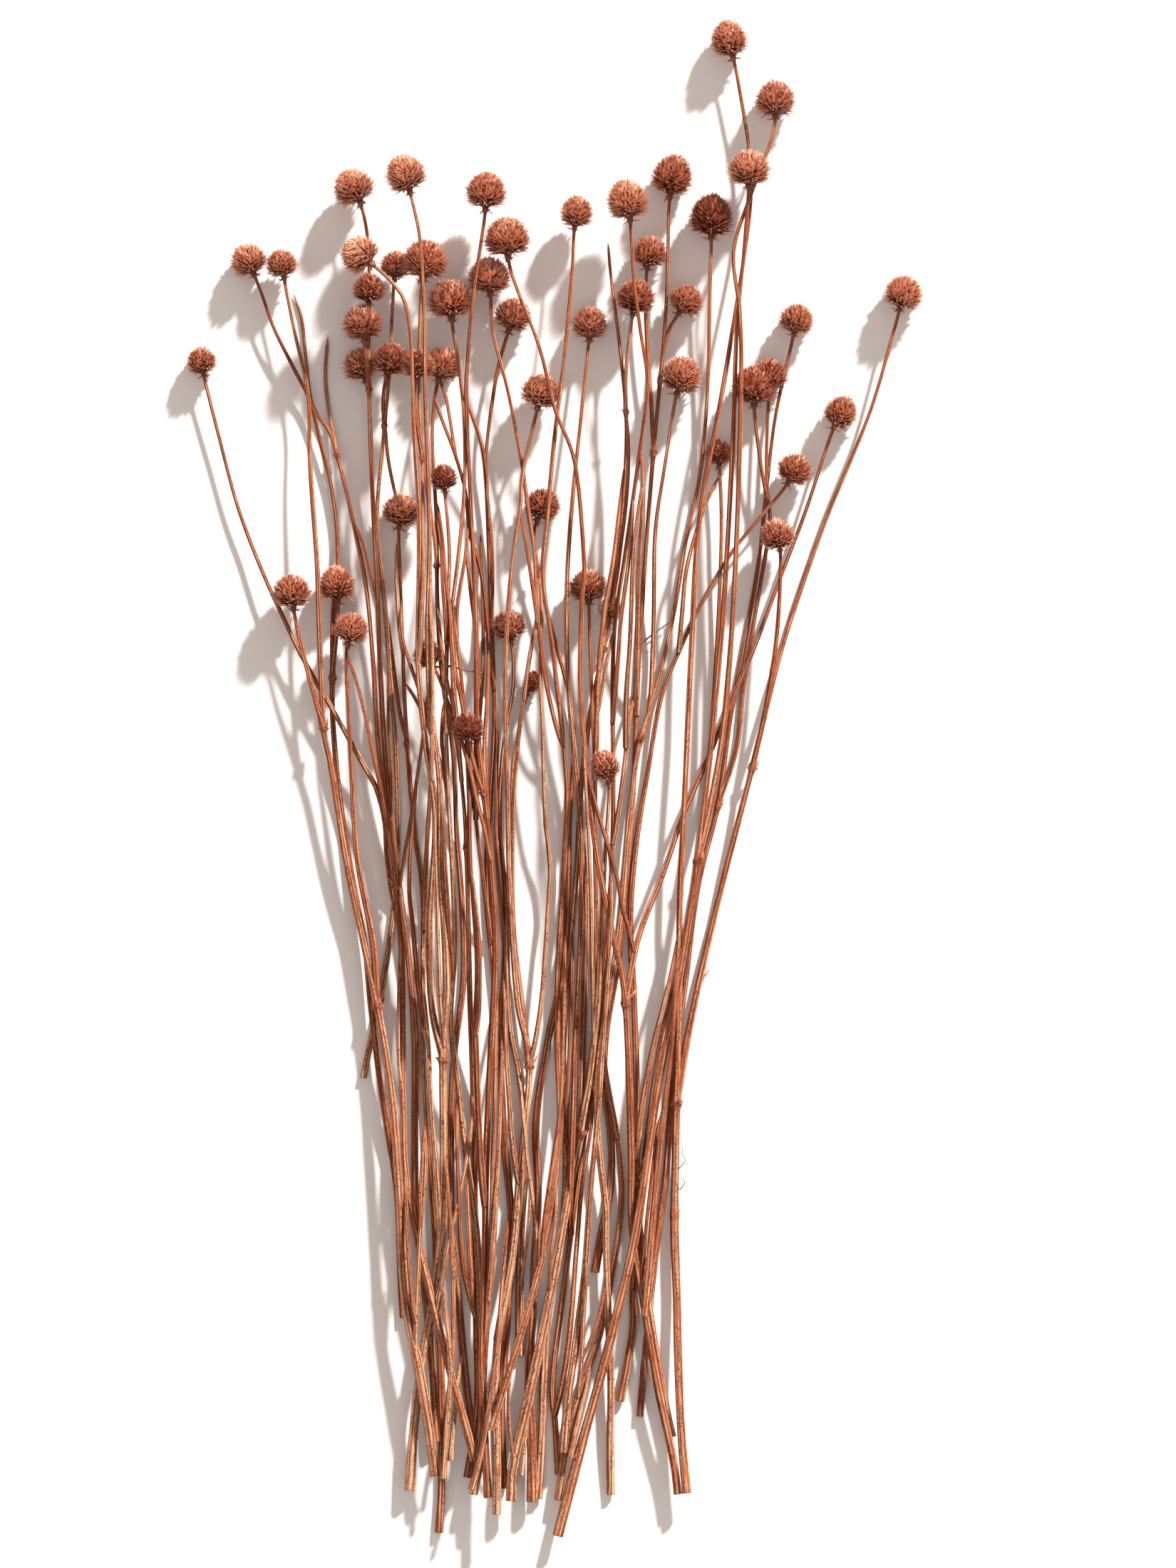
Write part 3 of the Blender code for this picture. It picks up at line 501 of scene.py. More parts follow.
# Slim stems that lie on the pile: the width of the foot, whether the stem grows from the
# one that it starts on, and its route on the plan
SLIM = (
    (3.4, False, ((-9.8, 34), (-8, 55), (-5.5, 72), (-2.5, 95), (-1, 110), (0, 125),
                  (1.2, 140), (2.6, 155), (4.5, 175), (5.8, 195), (7.3, 215), (8.8, 240),
                  (9.3, 262), (8, 280))),
    (2.6, False, ((-46, 20), (-42.5, 33), (-39.5, 50), (-37.5, 64), (-35.8, 76), (-34.5, 95),
                  (-33.5, 115), (-33, 130))),
    (2.4, False, ((-57, 24), (-56, 40), (-54.6, 60), (-53.2, 80), (-53.2, 105), (-54.5, 130),
                  (-56, 155))),
    (2.2, True, ((-69, 72), (-68, 90), (-67, 110), (-66, 125), (-64.5, 140), (-64, 160),
                  (-65, 185), (-66.5, 210))),
    (2.8, True, ((-41.5, 60), (-40, 85), (-38.6, 110), (-38, 130), (-37.5, 150), (-37, 168),
                  (-36.5, 190), (-36.5, 210))),
    (2.6, True, ((-38, 95), (-37, 120), (-36, 140), (-34.8, 165), (-34, 185), (-33.5, 205))),
    (3.2, False, ((22.5, 88), (24, 105), (25.5, 125), (27.3, 145), (29.5, 165), (32, 185),
                  (34, 205), (35.5, 225), (37.5, 245))),
    (2.8, True, ((-8.5, 120), (-7, 145), (-5.8, 170), (-5.3, 190), (-4.3, 210), (-3.3, 232),
                  (-2.8, 255), (-2.4, 275), (-2.6, 295))),
    (2.4, True, ((-19, 112), (-17, 128), (-14.5, 145), (-12.2, 160), (-10.5, 175), (-10, 195),
                  (-9.5, 215), (-9.8, 240))),
    (2.2, True, ((-21.5, 100), (-20.5, 118), (-22, 135), (-24, 150), (-25.5, 168),
                  (-26.5, 182))),
    (2.0, True, ((-59.5, 88), (-57, 105), (-54.3, 120), (-51.5, 132), (-49, 144),
                 (-46.5, 158), (-45, 175))),
    (3.0, True, ((19, 150), (21, 168), (23.5, 183), (26.5, 198), (30, 212), (33, 226),
                 (35, 240))),
    (2.2, True, ((-22.6, 187), (-20.5, 197), (-18.6, 210), (-17.3, 225), (-16.4, 240),
                 (-15.4, 255), (-15, 264), (-15.9, 275), (-16.8, 283), (-17.5, 300),
                 (-18.1, 324), (-18.8, 338), (-18.6, 352), (-18.2, 366), (-18.8, 380))),
    (2.2, True, ((11.5, 275), (12.8, 290), (14.2, 305), (15.4, 322), (16.6, 338.5))),
    (1.8, True, ((18.2, 232), (16, 241), (13.5, 249), (11.3, 262), (6.5, 278), (1.9, 293.5),
                 (-1.2, 305), (-3, 316))),
    (2.0, True, ((-45.8, 285), (-46.6, 300), (-47.6, 315), (-49, 330), (-50.5, 345),
                 (-52.5, 360), (-54, 372))),
    (2.0, True, ((-62, 300), (-61.3, 320), (-61, 340), (-61.5, 360), (-62, 380))),
    (1.8, True, ((-38.5, 268), (-41, 281), (-43.5, 291), (-46.5, 304), (-50, 316), (-53, 328),
                 (-56.3, 343), (-58, 356), (-59, 368))),
    (1.6, True, ((-74.2, 258), (-72.5, 270), (-70.3, 282), (-68, 297), (-66, 311),
                 (-64.6, 324), (-64, 338))),
    (2.0, True, ((-54.6, 285), (-56.4, 300), (-60.2, 313), (-64.2, 324), (-68.5, 332.5),
                 (-72.8, 339))),
    (1.8, True, ((-62.3, 318), (-66, 333), (-70, 345), (-73.4, 357), (-74, 372))),
    (2.0, True, ((-39.4, 335), (-39.6, 350), (-40.2, 363), (-41.4, 376), (-43.3, 386),
                 (-46.4, 396), (-47.4, 404), (-48.3, 413.5), (-51, 424), (-53.8, 432.5),
                 (-57, 441), (-59.7, 450))),
    (1.8, True, ((-39.3, 400), (-40.3, 418), (-42, 432), (-46.5, 445.5), (-49.6, 452.5),
                 (-50.6, 460))),
    (2.2, True, ((35.5, 350), (37, 365), (38.3, 380), (40.3, 390), (43, 400), (46, 410),
                 (49.8, 421))),
    (2.6, True, ((-57.5, 112), (-58.7, 130), (-60.2, 150), (-61.4, 165), (-62.4, 180),
                  (-62.8, 192), (-64, 206), (-65.5, 218), (-67, 235))),
    (2.4, True, ((-57.2, 195), (-58.4, 212), (-58.9, 225), (-59.3, 240), (-59.8, 258),
                 (-60, 275), (-59.5, 290))),
    (3.0, True, ((-42.4, 132), (-42.6, 145), (-43, 160), (-43.8, 185), (-44.3, 205),
                  (-43.7, 220), (-43.9, 235), (-45.2, 252), (-46.2, 268), (-46.6, 285),
                  (-47.5, 305))),
    (2.6, True, ((-28.5, 140), (-29.6, 150), (-30.6, 160), (-31.2, 172), (-32, 184),
                 (-32.5, 196), (-33, 210), (-34, 225))),
    (2.4, True, ((-66.5, 205), (-67.6, 218), (-69, 240), (-70.5, 255), (-70.2, 270),
                 (-69, 285), (-68.5, 300))),
    (2.4, True, ((-65.3, 240), (-64.2, 262), (-63.4, 276), (-62.4, 290), (-61.5, 305),
                 (-61, 320))),
    (1.8, True, ((2.2, 195), (1.8, 220), (1.5, 240), (1, 260), (0.2, 278), (-0.9, 298),
                 (-1.5, 315))),
    (2.8, True, ((-11.5, 48), (-9.5, 62), (-7.8, 75), (-6.4, 90), (-5.1, 108), (-4, 122),
                  (-2.6, 138), (-0.5, 152), (1, 163), (1.6, 180))),
    (2.0, True, ((-68.5, 85), (-69.7, 96), (-70.8, 110), (-71.8, 130), (-72.3, 145))),
    (2.4, True, ((-54.6, 66), (-55, 77), (-56, 88), (-57.3, 100), (-58, 112))),
    (2.2, True, ((-53.8, 222), (-54.2, 232), (-55.1, 248), (-56, 265), (-56.4, 280),
                 (-57, 295))),
    (2.0, True, ((-78.8, 250), (-79.5, 262), (-80.3, 272), (-80.7, 281), (-82, 288),
                 (-84, 294), (-86.5, 299.5), (-90, 304))),
    (2.0, True, ((-79.3, 280), (-82.3, 298), (-84.8, 310), (-87.3, 324), (-89.8, 336),
                 (-93, 350))),
    (2.0, True, ((-41.4, 200), (-41.7, 210), (-42.1, 222), (-42.4, 234), (-43.2, 244),
                 (-44.2, 255), (-44.8, 265))),
    (2.2, True, ((-38.8, 235), (-40, 247), (-41.6, 262), (-42.6, 270), (-43.6, 278),
                 (-44.8, 287), (-46, 296))),
    (2.6, True, ((-40.3, 285), (-40.6, 300), (-40.7, 315), (-40, 328), (-39.6, 340),
                 (-39.4, 352))),
    (2.0, True, ((-56, 295), (-56.8, 306), (-57.9, 314), (-57.9, 322), (-57.4, 332))),
    (2.0, True, ((-13.5, 312), (-15.2, 326), (-16.6, 336), (-18.2, 348), (-20.3, 368),
                 (-21, 388), (-23, 404), (-25.3, 422))),
    (2.8, True, ((2.2, 300), (2.9, 313), (3.4, 326), (4, 340), (5.2, 355), (7, 370),
                 (9, 381), (10.6, 392), (11.8, 403), (13, 414), (14.3, 426))),
    (1.8, True, ((-34.4, 235), (-34.8, 250), (-35.6, 262), (-36.3, 275), (-36.2, 290),
                 (-35.9, 303), (-35.2, 315), (-35, 330))),
    (1.6, True, ((-76.7, 285), (-77.3, 300), (-78, 310), (-78.8, 320), (-79.2, 330),
                 (-79.7, 345))),
    (2.0, True, ((-9.2, 155), (-8.5, 172), (-7.9, 182), (-7.3, 192), (-7, 202),
                  (-6.3, 215), (-5.8, 228), (-5, 242))),
    (1.6, True, ((-75.3, 175), (-75.5, 190), (-75.2, 205), (-75.2, 222), (-75.6, 235))),
    (2.4, True, ((18.4, 325), (18.9, 340), (19.3, 355), (19.7, 372), (20.4, 388),
                 (21.4, 402), (22.2, 415), (22.8, 430))),
    (1.8, True, ((-52.6, 355), (-52, 367), (-50.6, 376), (-48.7, 388), (-48, 400))),
    (1.6, True, ((-55.4, 350), (-56, 362), (-57, 376), (-57.3, 390), (-58, 406))),
    (1.8, True, ((21.8, 100), (22.5, 112), (23.3, 125), (24.8, 140), (26.5, 156),
                 (28.3, 168))),
    (2.4, True, ((-47, 88), (-48.4, 98), (-49.8, 108), (-50.6, 120), (-51, 135),
                 (-51.6, 150), (-52.1, 165), (-52.4, 178))),
    (2.6, True, ((-46.2, 92), (-46.6, 105), (-47, 118), (-47.6, 128), (-48.3, 138),
                  (-49.4, 150))),
    (1.6, True, ((-66.3, 122), (-66.3, 135), (-65.8, 150), (-65.3, 165))),
    (2.4, False, ((-54.3, 31), (-53.7, 40), (-53, 50), (-52.3, 60), (-51.5, 74))),
    (1.6, True, ((-31, 30), (-31.6, 42), (-32, 55), (-31.4, 70))),
    (2.0, False, ((-26.4, 25), (-25.3, 34), (-24.5, 43), (-23.4, 58))),
    (2.4, True, ((-5.6, 56), (-3.8, 66), (-2.6, 76), (-1.7, 88), (-0.6, 98), (0.6, 112))),
    (2.4, False, ((-6.7, 32), (-5, 42), (-2.7, 52), (-0.6, 60), (1, 70))),
    (1.6, True, ((-1.8, 71), (0.8, 78), (3, 84), (4.6, 92), (5.8, 101))),
    (1.6, True, ((-24.3, 100), (-23.7, 113), (-23.2, 126), (-22.8, 140))),
    (1.6, True, ((-17.3, 97), (-15.7, 108), (-13.6, 120), (-12.2, 130), (-11.2, 142))),
    (2.6, True, ((14, 312), (15.1, 335), (16.3, 350), (17, 365), (17.4, 380), (18, 392),
                 (19.2, 404), (20.6, 416))),
    (2.2, True, ((10.4, 322), (11.6, 342), (12.3, 352), (12.9, 362), (14.3, 373),
                 (15.9, 385), (17.1, 397), (17.9, 412))),
    (1.8, True, ((9, 362), (11.3, 378), (13, 392), (14.6, 404), (15.8, 416), (16.6, 430),
                 (17.1, 445))),
    (2.0, True, ((4.4, 326), (6.3, 340), (7.6, 350), (9.3, 360))),
    (2.6, True, ((-52.6, 325), (-53.1, 340), (-53.6, 350), (-54.2, 362), (-55.2, 374))),
    (1.6, True, ((-75.2, 350), (-75.9, 368), (-76.4, 382), (-76.2, 397))),
    (1.8, True, ((-65.3, 345), (-65.1, 365), (-64.6, 380), (-64.9, 395), (-65.3, 410),
                 (-66.3, 425))),
    (1.4, True, ((-55.4, 368), (-56.3, 385), (-57.1, 398), (-58.4, 411))),
    (1.6, True, ((-45.4, 360), (-46.5, 372), (-47.3, 382), (-48, 392))),
    (1.4, True, ((-37.6, 362), (-37.4, 378), (-37.6, 392), (-38.4, 404), (-38.9, 416))),
    (1.8, True, ((-19.6, 362), (-21.6, 375), (-23.3, 387), (-24.8, 397), (-26.3, 407))),
    (1.6, True, ((-84.5, 372), (-86.2, 384), (-87.6, 394), (-89, 403))),
    (1.4, True, ((-77, 408), (-78.5, 419), (-79.6, 430), (-80, 442))),
    (1.4, True, ((-52.5, 425), (-53.4, 435), (-54.5, 447), (-56, 458))),
    (1.4, True, ((-27, 332), (-25.2, 342), (-23.7, 351), (-22.2, 361))),
    (2.2, True, ((-46.4, 292), (-47.2, 306), (-48.1, 320), (-50, 332), (-51.9, 341),
                 (-53.2, 355), (-53.8, 368))),
    (2.4, True, ((-43.9, 285), (-44, 311), (-44.1, 335), (-44.2, 356), (-44.5, 380),
                 (-45, 402))),
    (2.0, True, ((-50.6, 300), (-51, 312), (-51.8, 326), (-53, 338), (-53.4, 350))),
)

# Dark rings on the stems, as (x, y) on the plan
KNOTS = ((-18, 283), (-45, 172), (-45, 142), (-73, 175), (72.5, 344), (60, 324), (-36, 28),
         (-36, 80), (-95, 339), (33, 40), (-73, 112), (34, 128))

# Dry leaf stubs: (x, y) on the plan, length, turn from the stem's line in degrees
STUBS = ((15, 213, 7, -38), (15, 213, 7.5, 42), (-57, 191, 5, 35), (-57, 191, 4.5, -30),
         (-23, 187, 6, 40), (-23, 187, 5, -34), (-3.5, 159, 7, 44), (-3.5, 159, 6, -40),
         (-83, 211, 5, -35), (-83, 211, 4, 30), (-104.5, 321, 4.5, 34), (-104.5, 321, 4, -30),
         (-34, 195, 5, 36), (-34, 195, 4, -30), (19.4, 141, 5, 38), (19.4, 141, 4.5, -32),
         (42, 222, 6, 36), (4, 262, 5, 40), (1, 258, 4, -35), (34, 128, 3, 50),
         (-48, 273, 3.5, 38), (-80, 440, 3, -36), (65, 305, 4, 34), (43.5, 268, 4, 30),
         (51.5, 290, 4, 30), (-76, 258, 4, -36), (-41, 295, 4, -36), (-55.5, 355, 3.5, 34))

# Curled dry threads: radius and plan points; each grows from the stem nearest its first
THREADS = (
    (0.3, ((35, 139), (36.5, 138), (38.2, 140.5), (37.4, 142.6), (36.2, 141.6))),
    (0.3, ((35, 145), (36.6, 147), (38.6, 149.5), (37.2, 152), (37.6, 155.4))),
    (0.4, ((20.3, 353), (23.4, 355.8), (26.2, 358), (30.4, 361), (33.2, 363.5), (33.3, 367))),
    (0.3, ((20.2, 350), (21.5, 352), (23, 350.2), (25, 351))),
    (0.6, ((-56, 344.8), (-53.5, 344.5), (-48, 343), (-44, 342.3), (-41.8, 342))),
    (0.4, ((-41.8, 342), (-42.6, 339), (-42, 336.4))),
    (0.25, ((-71.8, 538), (-69.4, 537), (-67.2, 538.6), (-66, 541.4))),
)


def spline(points):
    """A smooth run of close points through the route's points (Catmull-Rom)."""
    p = np.array(points, float)
    p = np.vstack([2 * p[0] - p[1], p, 2 * p[-1] - p[-2]])
    runs = []
    for a, b, c, d in zip(p[:-3], p[1:-2], p[2:-1], p[3:]):
        count = max(int(np.linalg.norm(c - b) / SAMPLE_STEP), 2)
        t = np.linspace(0, 1, count, endpoint=False)[:, None]
        cubic = 2 * b + (c - a) * t + (2 * a - 5 * b + 4 * c - d) * t**2
        runs.append((cubic + (3 * b - a - 3 * c + d) * t**3) / 2)
    return np.vstack(runs + [p[-2:-1]])


def lengths(points):
    """The distance along a run of points, from its start."""
    steps = np.linalg.norm(np.diff(points, axis=0), axis=1)
    return np.concatenate([[0], np.cumsum(steps)])


def unit(vectors):
    """The vectors, each at length one."""
    return vectors / np.maximum(np.linalg.norm(vectors, axis=-1, keepdims=True), 1e-9)


def ring_places(total, knots):
    """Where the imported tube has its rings: even steps, and three close ones at each knot."""
    places = list(np.linspace(0, total, max(int(round(total / RING_STEP)), 2) + 1))
    for knot in knots:
        near = [knot - COLLAR_REACH, knot, knot + COLLAR_REACH]
        places = [s for s in places
                  if min(abs(s - n) for n in near) > COLLAR_CLEAR or s in (0, total)]
        places += [n for n in near if END_CLEAR < n < total - END_CLEAR]
    return np.array(sorted(places))


class Branch:
    """One stem or branch: its line on the plan, its knots, its height and its head."""

    def __init__(self, route, head):
        self.head = head
        self.parent = None
        self.fork = 0
        self.start_height = 0
        self.curve = spline(list(route) + ([head[:2]] if head else []))
        self.along = lengths(self.curve)
        self.total = self.along[-1]
        self.knots = []
        self.marks = []

    def start_on(self, parent):
        """Start this branch on the axis of the stem that it grows from."""
        gaps = np.hypot(*(parent.curve - self.curve[0]).T)
        self.parent = parent
        self.fork = parent.along[gaps.argmin()]
        self.start_height = parent.start_height + self.fork
        self.curve = self.curve + (parent.curve[gaps.argmin()] - self.curve[0]) * np.exp(
            -self.along / FORK_BLEND)[:, None]
        self.along = lengths(self.curve)
        self.total = self.along[-1]
        parent.knots.append(self.fork)

    def end_on(self, other):
        """Bend the last part over to the axis of another branch; gives the place on it."""
        gaps = np.hypot(*(other.curve - self.curve[-1]).T)
        self.curve = self.curve + (other.curve[gaps.argmin()] - self.curve[-1]) * np.exp(
            (self.along - self.total) / FORK_BLEND)[:, None]
        self.along = lengths(self.curve)
        self.total = self.along[-1]
        return other.along[gaps.argmin()]

    def divide(self):
        """Place the rings, and the samples on the straight runs between them."""
        self.rings = ring_places(self.total, self.knots)
        x = np.interp(self.rings, self.along, self.curve[:, 0])
        y = np.interp(self.rings, self.along, self.curve[:, 1])
        parts = [np.linspace(a, b, max(int((b - a) / SAMPLE_STEP), 1), endpoint=False)
                 for a, b in zip(self.rings[:-1], self.rings[1:])]
        self.s = np.concatenate(parts + [[self.total]])
        self.xy = np.stack([np.interp(self.s, self.rings, x),
                            np.interp(self.s, self.rings, y)], axis=1)

    def radius(self, s):
        """The stem's radius: a slow taper to the neck, and a swelling at each knot."""
        share = (s / self.total) ** TAPER_POWER
        radius = self.root_radius * (1 - share) + NECK_RADIUS * share
        for knot in self.knots:
            radius = radius * (1 + (COLLAR_SWELL - 1) * np.clip(
                1 - np.abs(s - knot) / COLLAR_REACH, 0, 1))
        return radius

    def line(self, s):
        """The points of the stem's axis at the distances s, with the piled height eased."""
        fine = np.arange(0, self.total + SAMPLE_STEP, SAMPLE_STEP)
        height = np.interp(fine, self.s, self.z)
        reach = EASE_REACH
        padded = np.concatenate([np.full(reach, height[0]), height, np.full(reach, height[-1])])
        weights = np.hanning(2 * reach + 3)[1:-1]
        height = np.convolve(padded, weights / weights.sum(), mode="valid")
        return np.stack([np.interp(s, self.along, self.curve[:, 0]),
                         np.interp(s, self.along, self.curve[:, 1]),
                         np.interp(s, fine, height)], axis=1)

    def nearest(self, point):
        """How far the branch passes from a plan point, and where along it."""
        gaps = np.hypot(*(self.curve - np.array(point[:2])).T)
        return gaps.min(), self.along[gaps.argmin()]


def make_spray(width, rows):
    """The branches of one cut stem, each started on the nearest earlier one."""
    branches = []
    for route, head in rows:
        branch = Branch(route, head)
        if branches:
            near = [np.hypot(*(b.curve - branch.curve[0]).T).min() for b in branches]
            branch.start_on(branches[int(np.argmin(near))])
        branches.append(branch)
    for branch in branches:
        parent = branch.parent
        branch.root_radius = (FORK_TAPER * float(parent.radius(np.array(branch.fork)))
                              if parent else width / 2)
        branch.divide()
    return branches


def tree_distance(branches):
    """The way along the stems between every two samples of one spray."""
    grid = np.zeros((0, 0))
    starts = []
    for branch in branches:
        own = np.abs(branch.s[:, None] - branch.s[None, :])
        if branch.parent is None:
            across = np.zeros((len(branch.s), 0))
        else:
            mother = branches.index(branch.parent)
            fork = starts[mother] + int(np.abs(branch.parent.s - branch.fork).argmin())
            across = branch.s[:, None] + grid[fork][None, :]
        starts.append(len(grid))
        grid = np.block([[grid, across.T], [across, own]])
    return grid


def lowest(xy, radius, laid):
    """The lowest height at which each sample clears the floor and all that lies below."""
    level = radius.copy()
    if len(laid) == 0:
        return level
    for block in range(0, len(xy), PILE_BLOCK):
        part = slice(block, block + PILE_BLOCK)
        near = laid[(laid[:, 1] > xy[part, 1].min() - PILE_WINDOW)
                    & (laid[:, 1] < xy[part, 1].max() + PILE_WINDOW)]
        reach = radius[part, None] + near[None, :, 3] + PILE_GAP
        flat = ((xy[part, None, :] - near[None, :, :2]) ** 2).sum(axis=2)
        lift = np.where(flat < reach**2, near[None, :, 2] + np.sqrt(
            np.maximum(reach**2 - flat, 0)), 0)
        if len(near):
            level[part] = np.maximum(level[part], lift.max(axis=1))
    return level


def pile(sprays):
    """Lay the sprays one on another; each sags between what holds it up."""
    laid = np.zeros((0, 4))
    for branches in sprays:
        xy = np.vstack([b.xy for b in branches])
        radius = np.concatenate([b.radius(b.s) for b in branches])
        ends = np.cumsum([len(b.s) for b in branches]) - 1
        for end, branch in zip(ends, branches):
            if branch.head:
                radius[end] = (branch.head[2] + branch.head[3]) / 4
        level = lowest(xy, radius, laid)
        sag = SAG / 2 * tree_distance(branches) ** 2
        height = (level[None, :] - sag).max(axis=1)
        first = 0
        for end, branch in zip(ends, branches):
            own = height[first:end + 1]
            ring_z = np.interp(branch.rings, branch.s, own)
            branch.z = np.interp(branch.s, branch.rings, ring_z)
            first = end + 1
        height = np.concatenate([b.z for b in branches])
        laid = np.vstack([laid, np.column_stack([xy, height, radius])])


def eased(z, away, target):
    """Heights eased to a target where away is 0, over a length that grows with the drop."""
    reach = max(FORK_BLEND, EASE * abs(z[away.argmin()] - target))
    share = np.exp(-away / reach)
    return z * (1 - share) + target * share


def lay_slim(sprays):
    """Lay the slim stems on the finished pile. Each goes with the spray that it starts by;
    one that grows from a stem, or ends by one, eases down to that stem's axis."""
    every = [(branch, k) for k, branches in enumerate(sprays) for branch in branches]
    laid = np.vstack([np.column_stack([b.xy, b.z, b.radius(b.s)]) for b, _ in every])
    for width, grows, route in SLIM:
        slim = Branch(route, None)
        owner, number = min(every, key=lambda o: o[0].nearest(route[0])[0])
        slim.root_radius = width / 2
        if grows:
            slim.start_on(owner)
            owner.knots.pop()
        last = min(every, key=lambda o: o[0].nearest(route[-1])[0])[0]
        meets = last.nearest(route[-1])[0] < SLIM_REACH
        if meets:
            place = slim.end_on(last)
        slim.divide()
        radius = slim.radius(slim.s)
        level = lowest(slim.xy, radius, laid)
        sag = SAG / 2 * (slim.s[:, None] - slim.s[None, :]) ** 2
        slim.z = (level[None, :] - sag).max(axis=1)
        if grows:
            slim.z = eased(slim.z, slim.s, owner.line(np.array([slim.fork]))[0, 2])
        if meets:
            slim.z = eased(slim.z, slim.total - slim.s, last.line(np.array([place]))[0, 2])
        laid = np.vstack([laid, np.column_stack([slim.xy, slim.z, radius])])
        every.append((slim, number))
        sprays[number].append(slim)


def node_name(number):
    """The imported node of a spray, counted from the bottom of the pile."""
    return f"spray_{number:02d}"


def frame_shift(sprays):
    """From the plan to the frame: the middle of the ways between each cut foot and its node's."""
    ways = []
    for number, branches in enumerate(sprays, start=1):
        mesh = frame["nodes"][node_name(number)].data
        corners = np.zeros(3 * len(mesh.vertices))
        mesh.vertices.foreach_get("co", corners)
        corners = np.unique(np.round(corners.reshape(-1, 3), 6), axis=0)
        foot = corners[np.argsort(corners[:, 1])[:FOOT_CORNERS]].mean(axis=0)
        ways.append(foot - MM * branches[0].line(np.zeros(1))[0])
    return np.median(ways, axis=0)


def lay_bunch():
    """The sprays of the bunch, piled, with their dark rings noted, and the way to the frame."""
    if not LAID:
        sprays = [make_spray(width, rows) for width, rows in SPRAYS]
        pile(sprays)
        lay_slim(sprays)
        every = [b for branches in sprays for b in branches]
        for knot in KNOTS:
            near = min(every, key=lambda b: b.nearest(knot)[0])
            near.marks.append(near.nearest(knot)[1])
        LAID.extend([sprays, frame_shift(sprays)])
    return LAID


def carry(centres, radii, turns):
    """A closed skin round a line. Ring i holds centre(i) + radius(i, k) * (cos a * side +
    sin a * up) at its turns a(i, k); side is level and square to the line, and each end
    closes in one point on the line."""
    ahead = unit(np.gradient(centres, axis=0))
    side = unit(np.cross(ahead, (0, 0, 1)))
    up = np.cross(side, ahead)
    rings = centres[:, None] + radii[:, :, None] * (
        np.cos(turns)[:, :, None] * side[:, None] + np.sin(turns)[:, :, None] * up[:, None])
    count, across = radii.shape
    points = np.vstack([rings.reshape(-1, 3), centres[:1], centres[-1:]])
    k = np.arange(across)
    m = (k + 1) % across
    low = (np.arange(count - 1) * across)[:, None]
    walls = np.stack([low + k, low + across + k, low + across + m, low + m], axis=-1)
    last = (count - 1) * across
    foot = np.stack([np.full(across, count * across), k, m], axis=-1)
    tip = np.stack([np.full(across, count * across + 1), last + m, last + k], axis=-1)
    return points, walls.reshape(-1, 4), foot, tip


def turned(centre, turn, places, radii, sides):
    """A closed form turned round the local Z axis: at each place z its ring has radius r(z),
    and both ends close in one point."""
    a = np.linspace(0, 2 * np.pi, sides, endpoint=False)
    x = radii[:, None] * np.cos(a)
    y = radii[:, None] * np.sin(a)
    z = np.repeat(places[:, None], sides, axis=1)
    local = np.vstack([np.stack([x, y, z], axis=-1).reshape(-1, 3),
                       [[0, 0, places[0]], [0, 0, places[-1]]]])
    k = np.arange(sides)
    m = (k + 1) % sides
    low = (np.arange(len(places) - 1) * sides)[:, None]
    walls = np.stack([low + k, low + m, low + sides + m, low + sides + k], axis=-1)
    last = (len(places) - 1) * sides
    foot = np.stack([np.full(sides, len(places) * sides), m, k], axis=-1)
    tip = np.stack([np.full(sides, len(places) * sides + 1), last + k, last + m], axis=-1)
    return centre + local @ turn.T, walls.reshape(-1, 4), np.vstack([foot, tip])


def scales(base, ahead, out, length, width, keel, curl):
    """Pointed, keeled scales. At the share t of its length the middle of a scale lies at base
    + length * (t * ahead + curl * t * t * out). Its edges lie half its width to both sides,
    its keel stands out over them, and it closes in a point at t = 1."""
    ahead = unit(ahead)
    out = unit(out - (out * ahead).sum(axis=1, keepdims=True) * ahead)
    side = np.cross(ahead, out)
    t = np.array(SCALE_SHARES)[None, :, None]
    long = length[:, None, None]
    middle = base[:, None] + long * (
        t * ahead[:, None] + curl[:, None, None] * t**2 * out[:, None])
    half = (width[:, None] * np.array(SCALE_WIDTHS) / 2)[:, :, None] * side[:, None]
    rise = (keel[:, None] * np.array(SCALE_WIDTHS))[:, :, None] * out[:, None]
    rings = np.stack([middle - half, middle + rise, middle + half], axis=2)
    tip = base + length[:, None] * (ahead + curl[:, None] * out)
    count = len(SCALE_SHARES)
    points = np.concatenate([rings.reshape(len(base), -1, 3), tip[:, None]], axis=1)
    faces = [(0, 2, 1)]
    for low in range(0, 3 * (count - 1), 3):
        for p, q in ((0, 1), (1, 2), (2, 0)):
            faces += [(low + p, low + q, low + 3 + q), (low + p, low + 3 + q, low + 3 + p)]
    last = 3 * (count - 1)
    faces += [(last + p, last + q, 3 * count) for p, q in ((0, 1), (1, 2), (2, 0))]
    step = (3 * count + 1) * np.arange(len(base))[:, None, None]
    shares = np.append(np.repeat(SCALE_SHARES, 3), 1.0)
    edges = np.append(np.tile((1.0, 0.0, 1.0), count), 0.0)
    return (points.reshape(-1, 3), (np.array(faces)[None] + step).reshape(-1, 3),
            np.tile(shares, len(base)), np.tile(edges, len(base)), 3 * count + 1)


def facing(axis):
    """A turn whose local Z looks along the axis, as three columns."""
    z = unit(np.array(axis, float))
    x = unit(np.cross(z, (0, 0, 1)) if abs(z[2]) < STEEP else np.cross(z, (1, 0, 0)))
    return np.column_stack([x, np.cross(z, x), z])


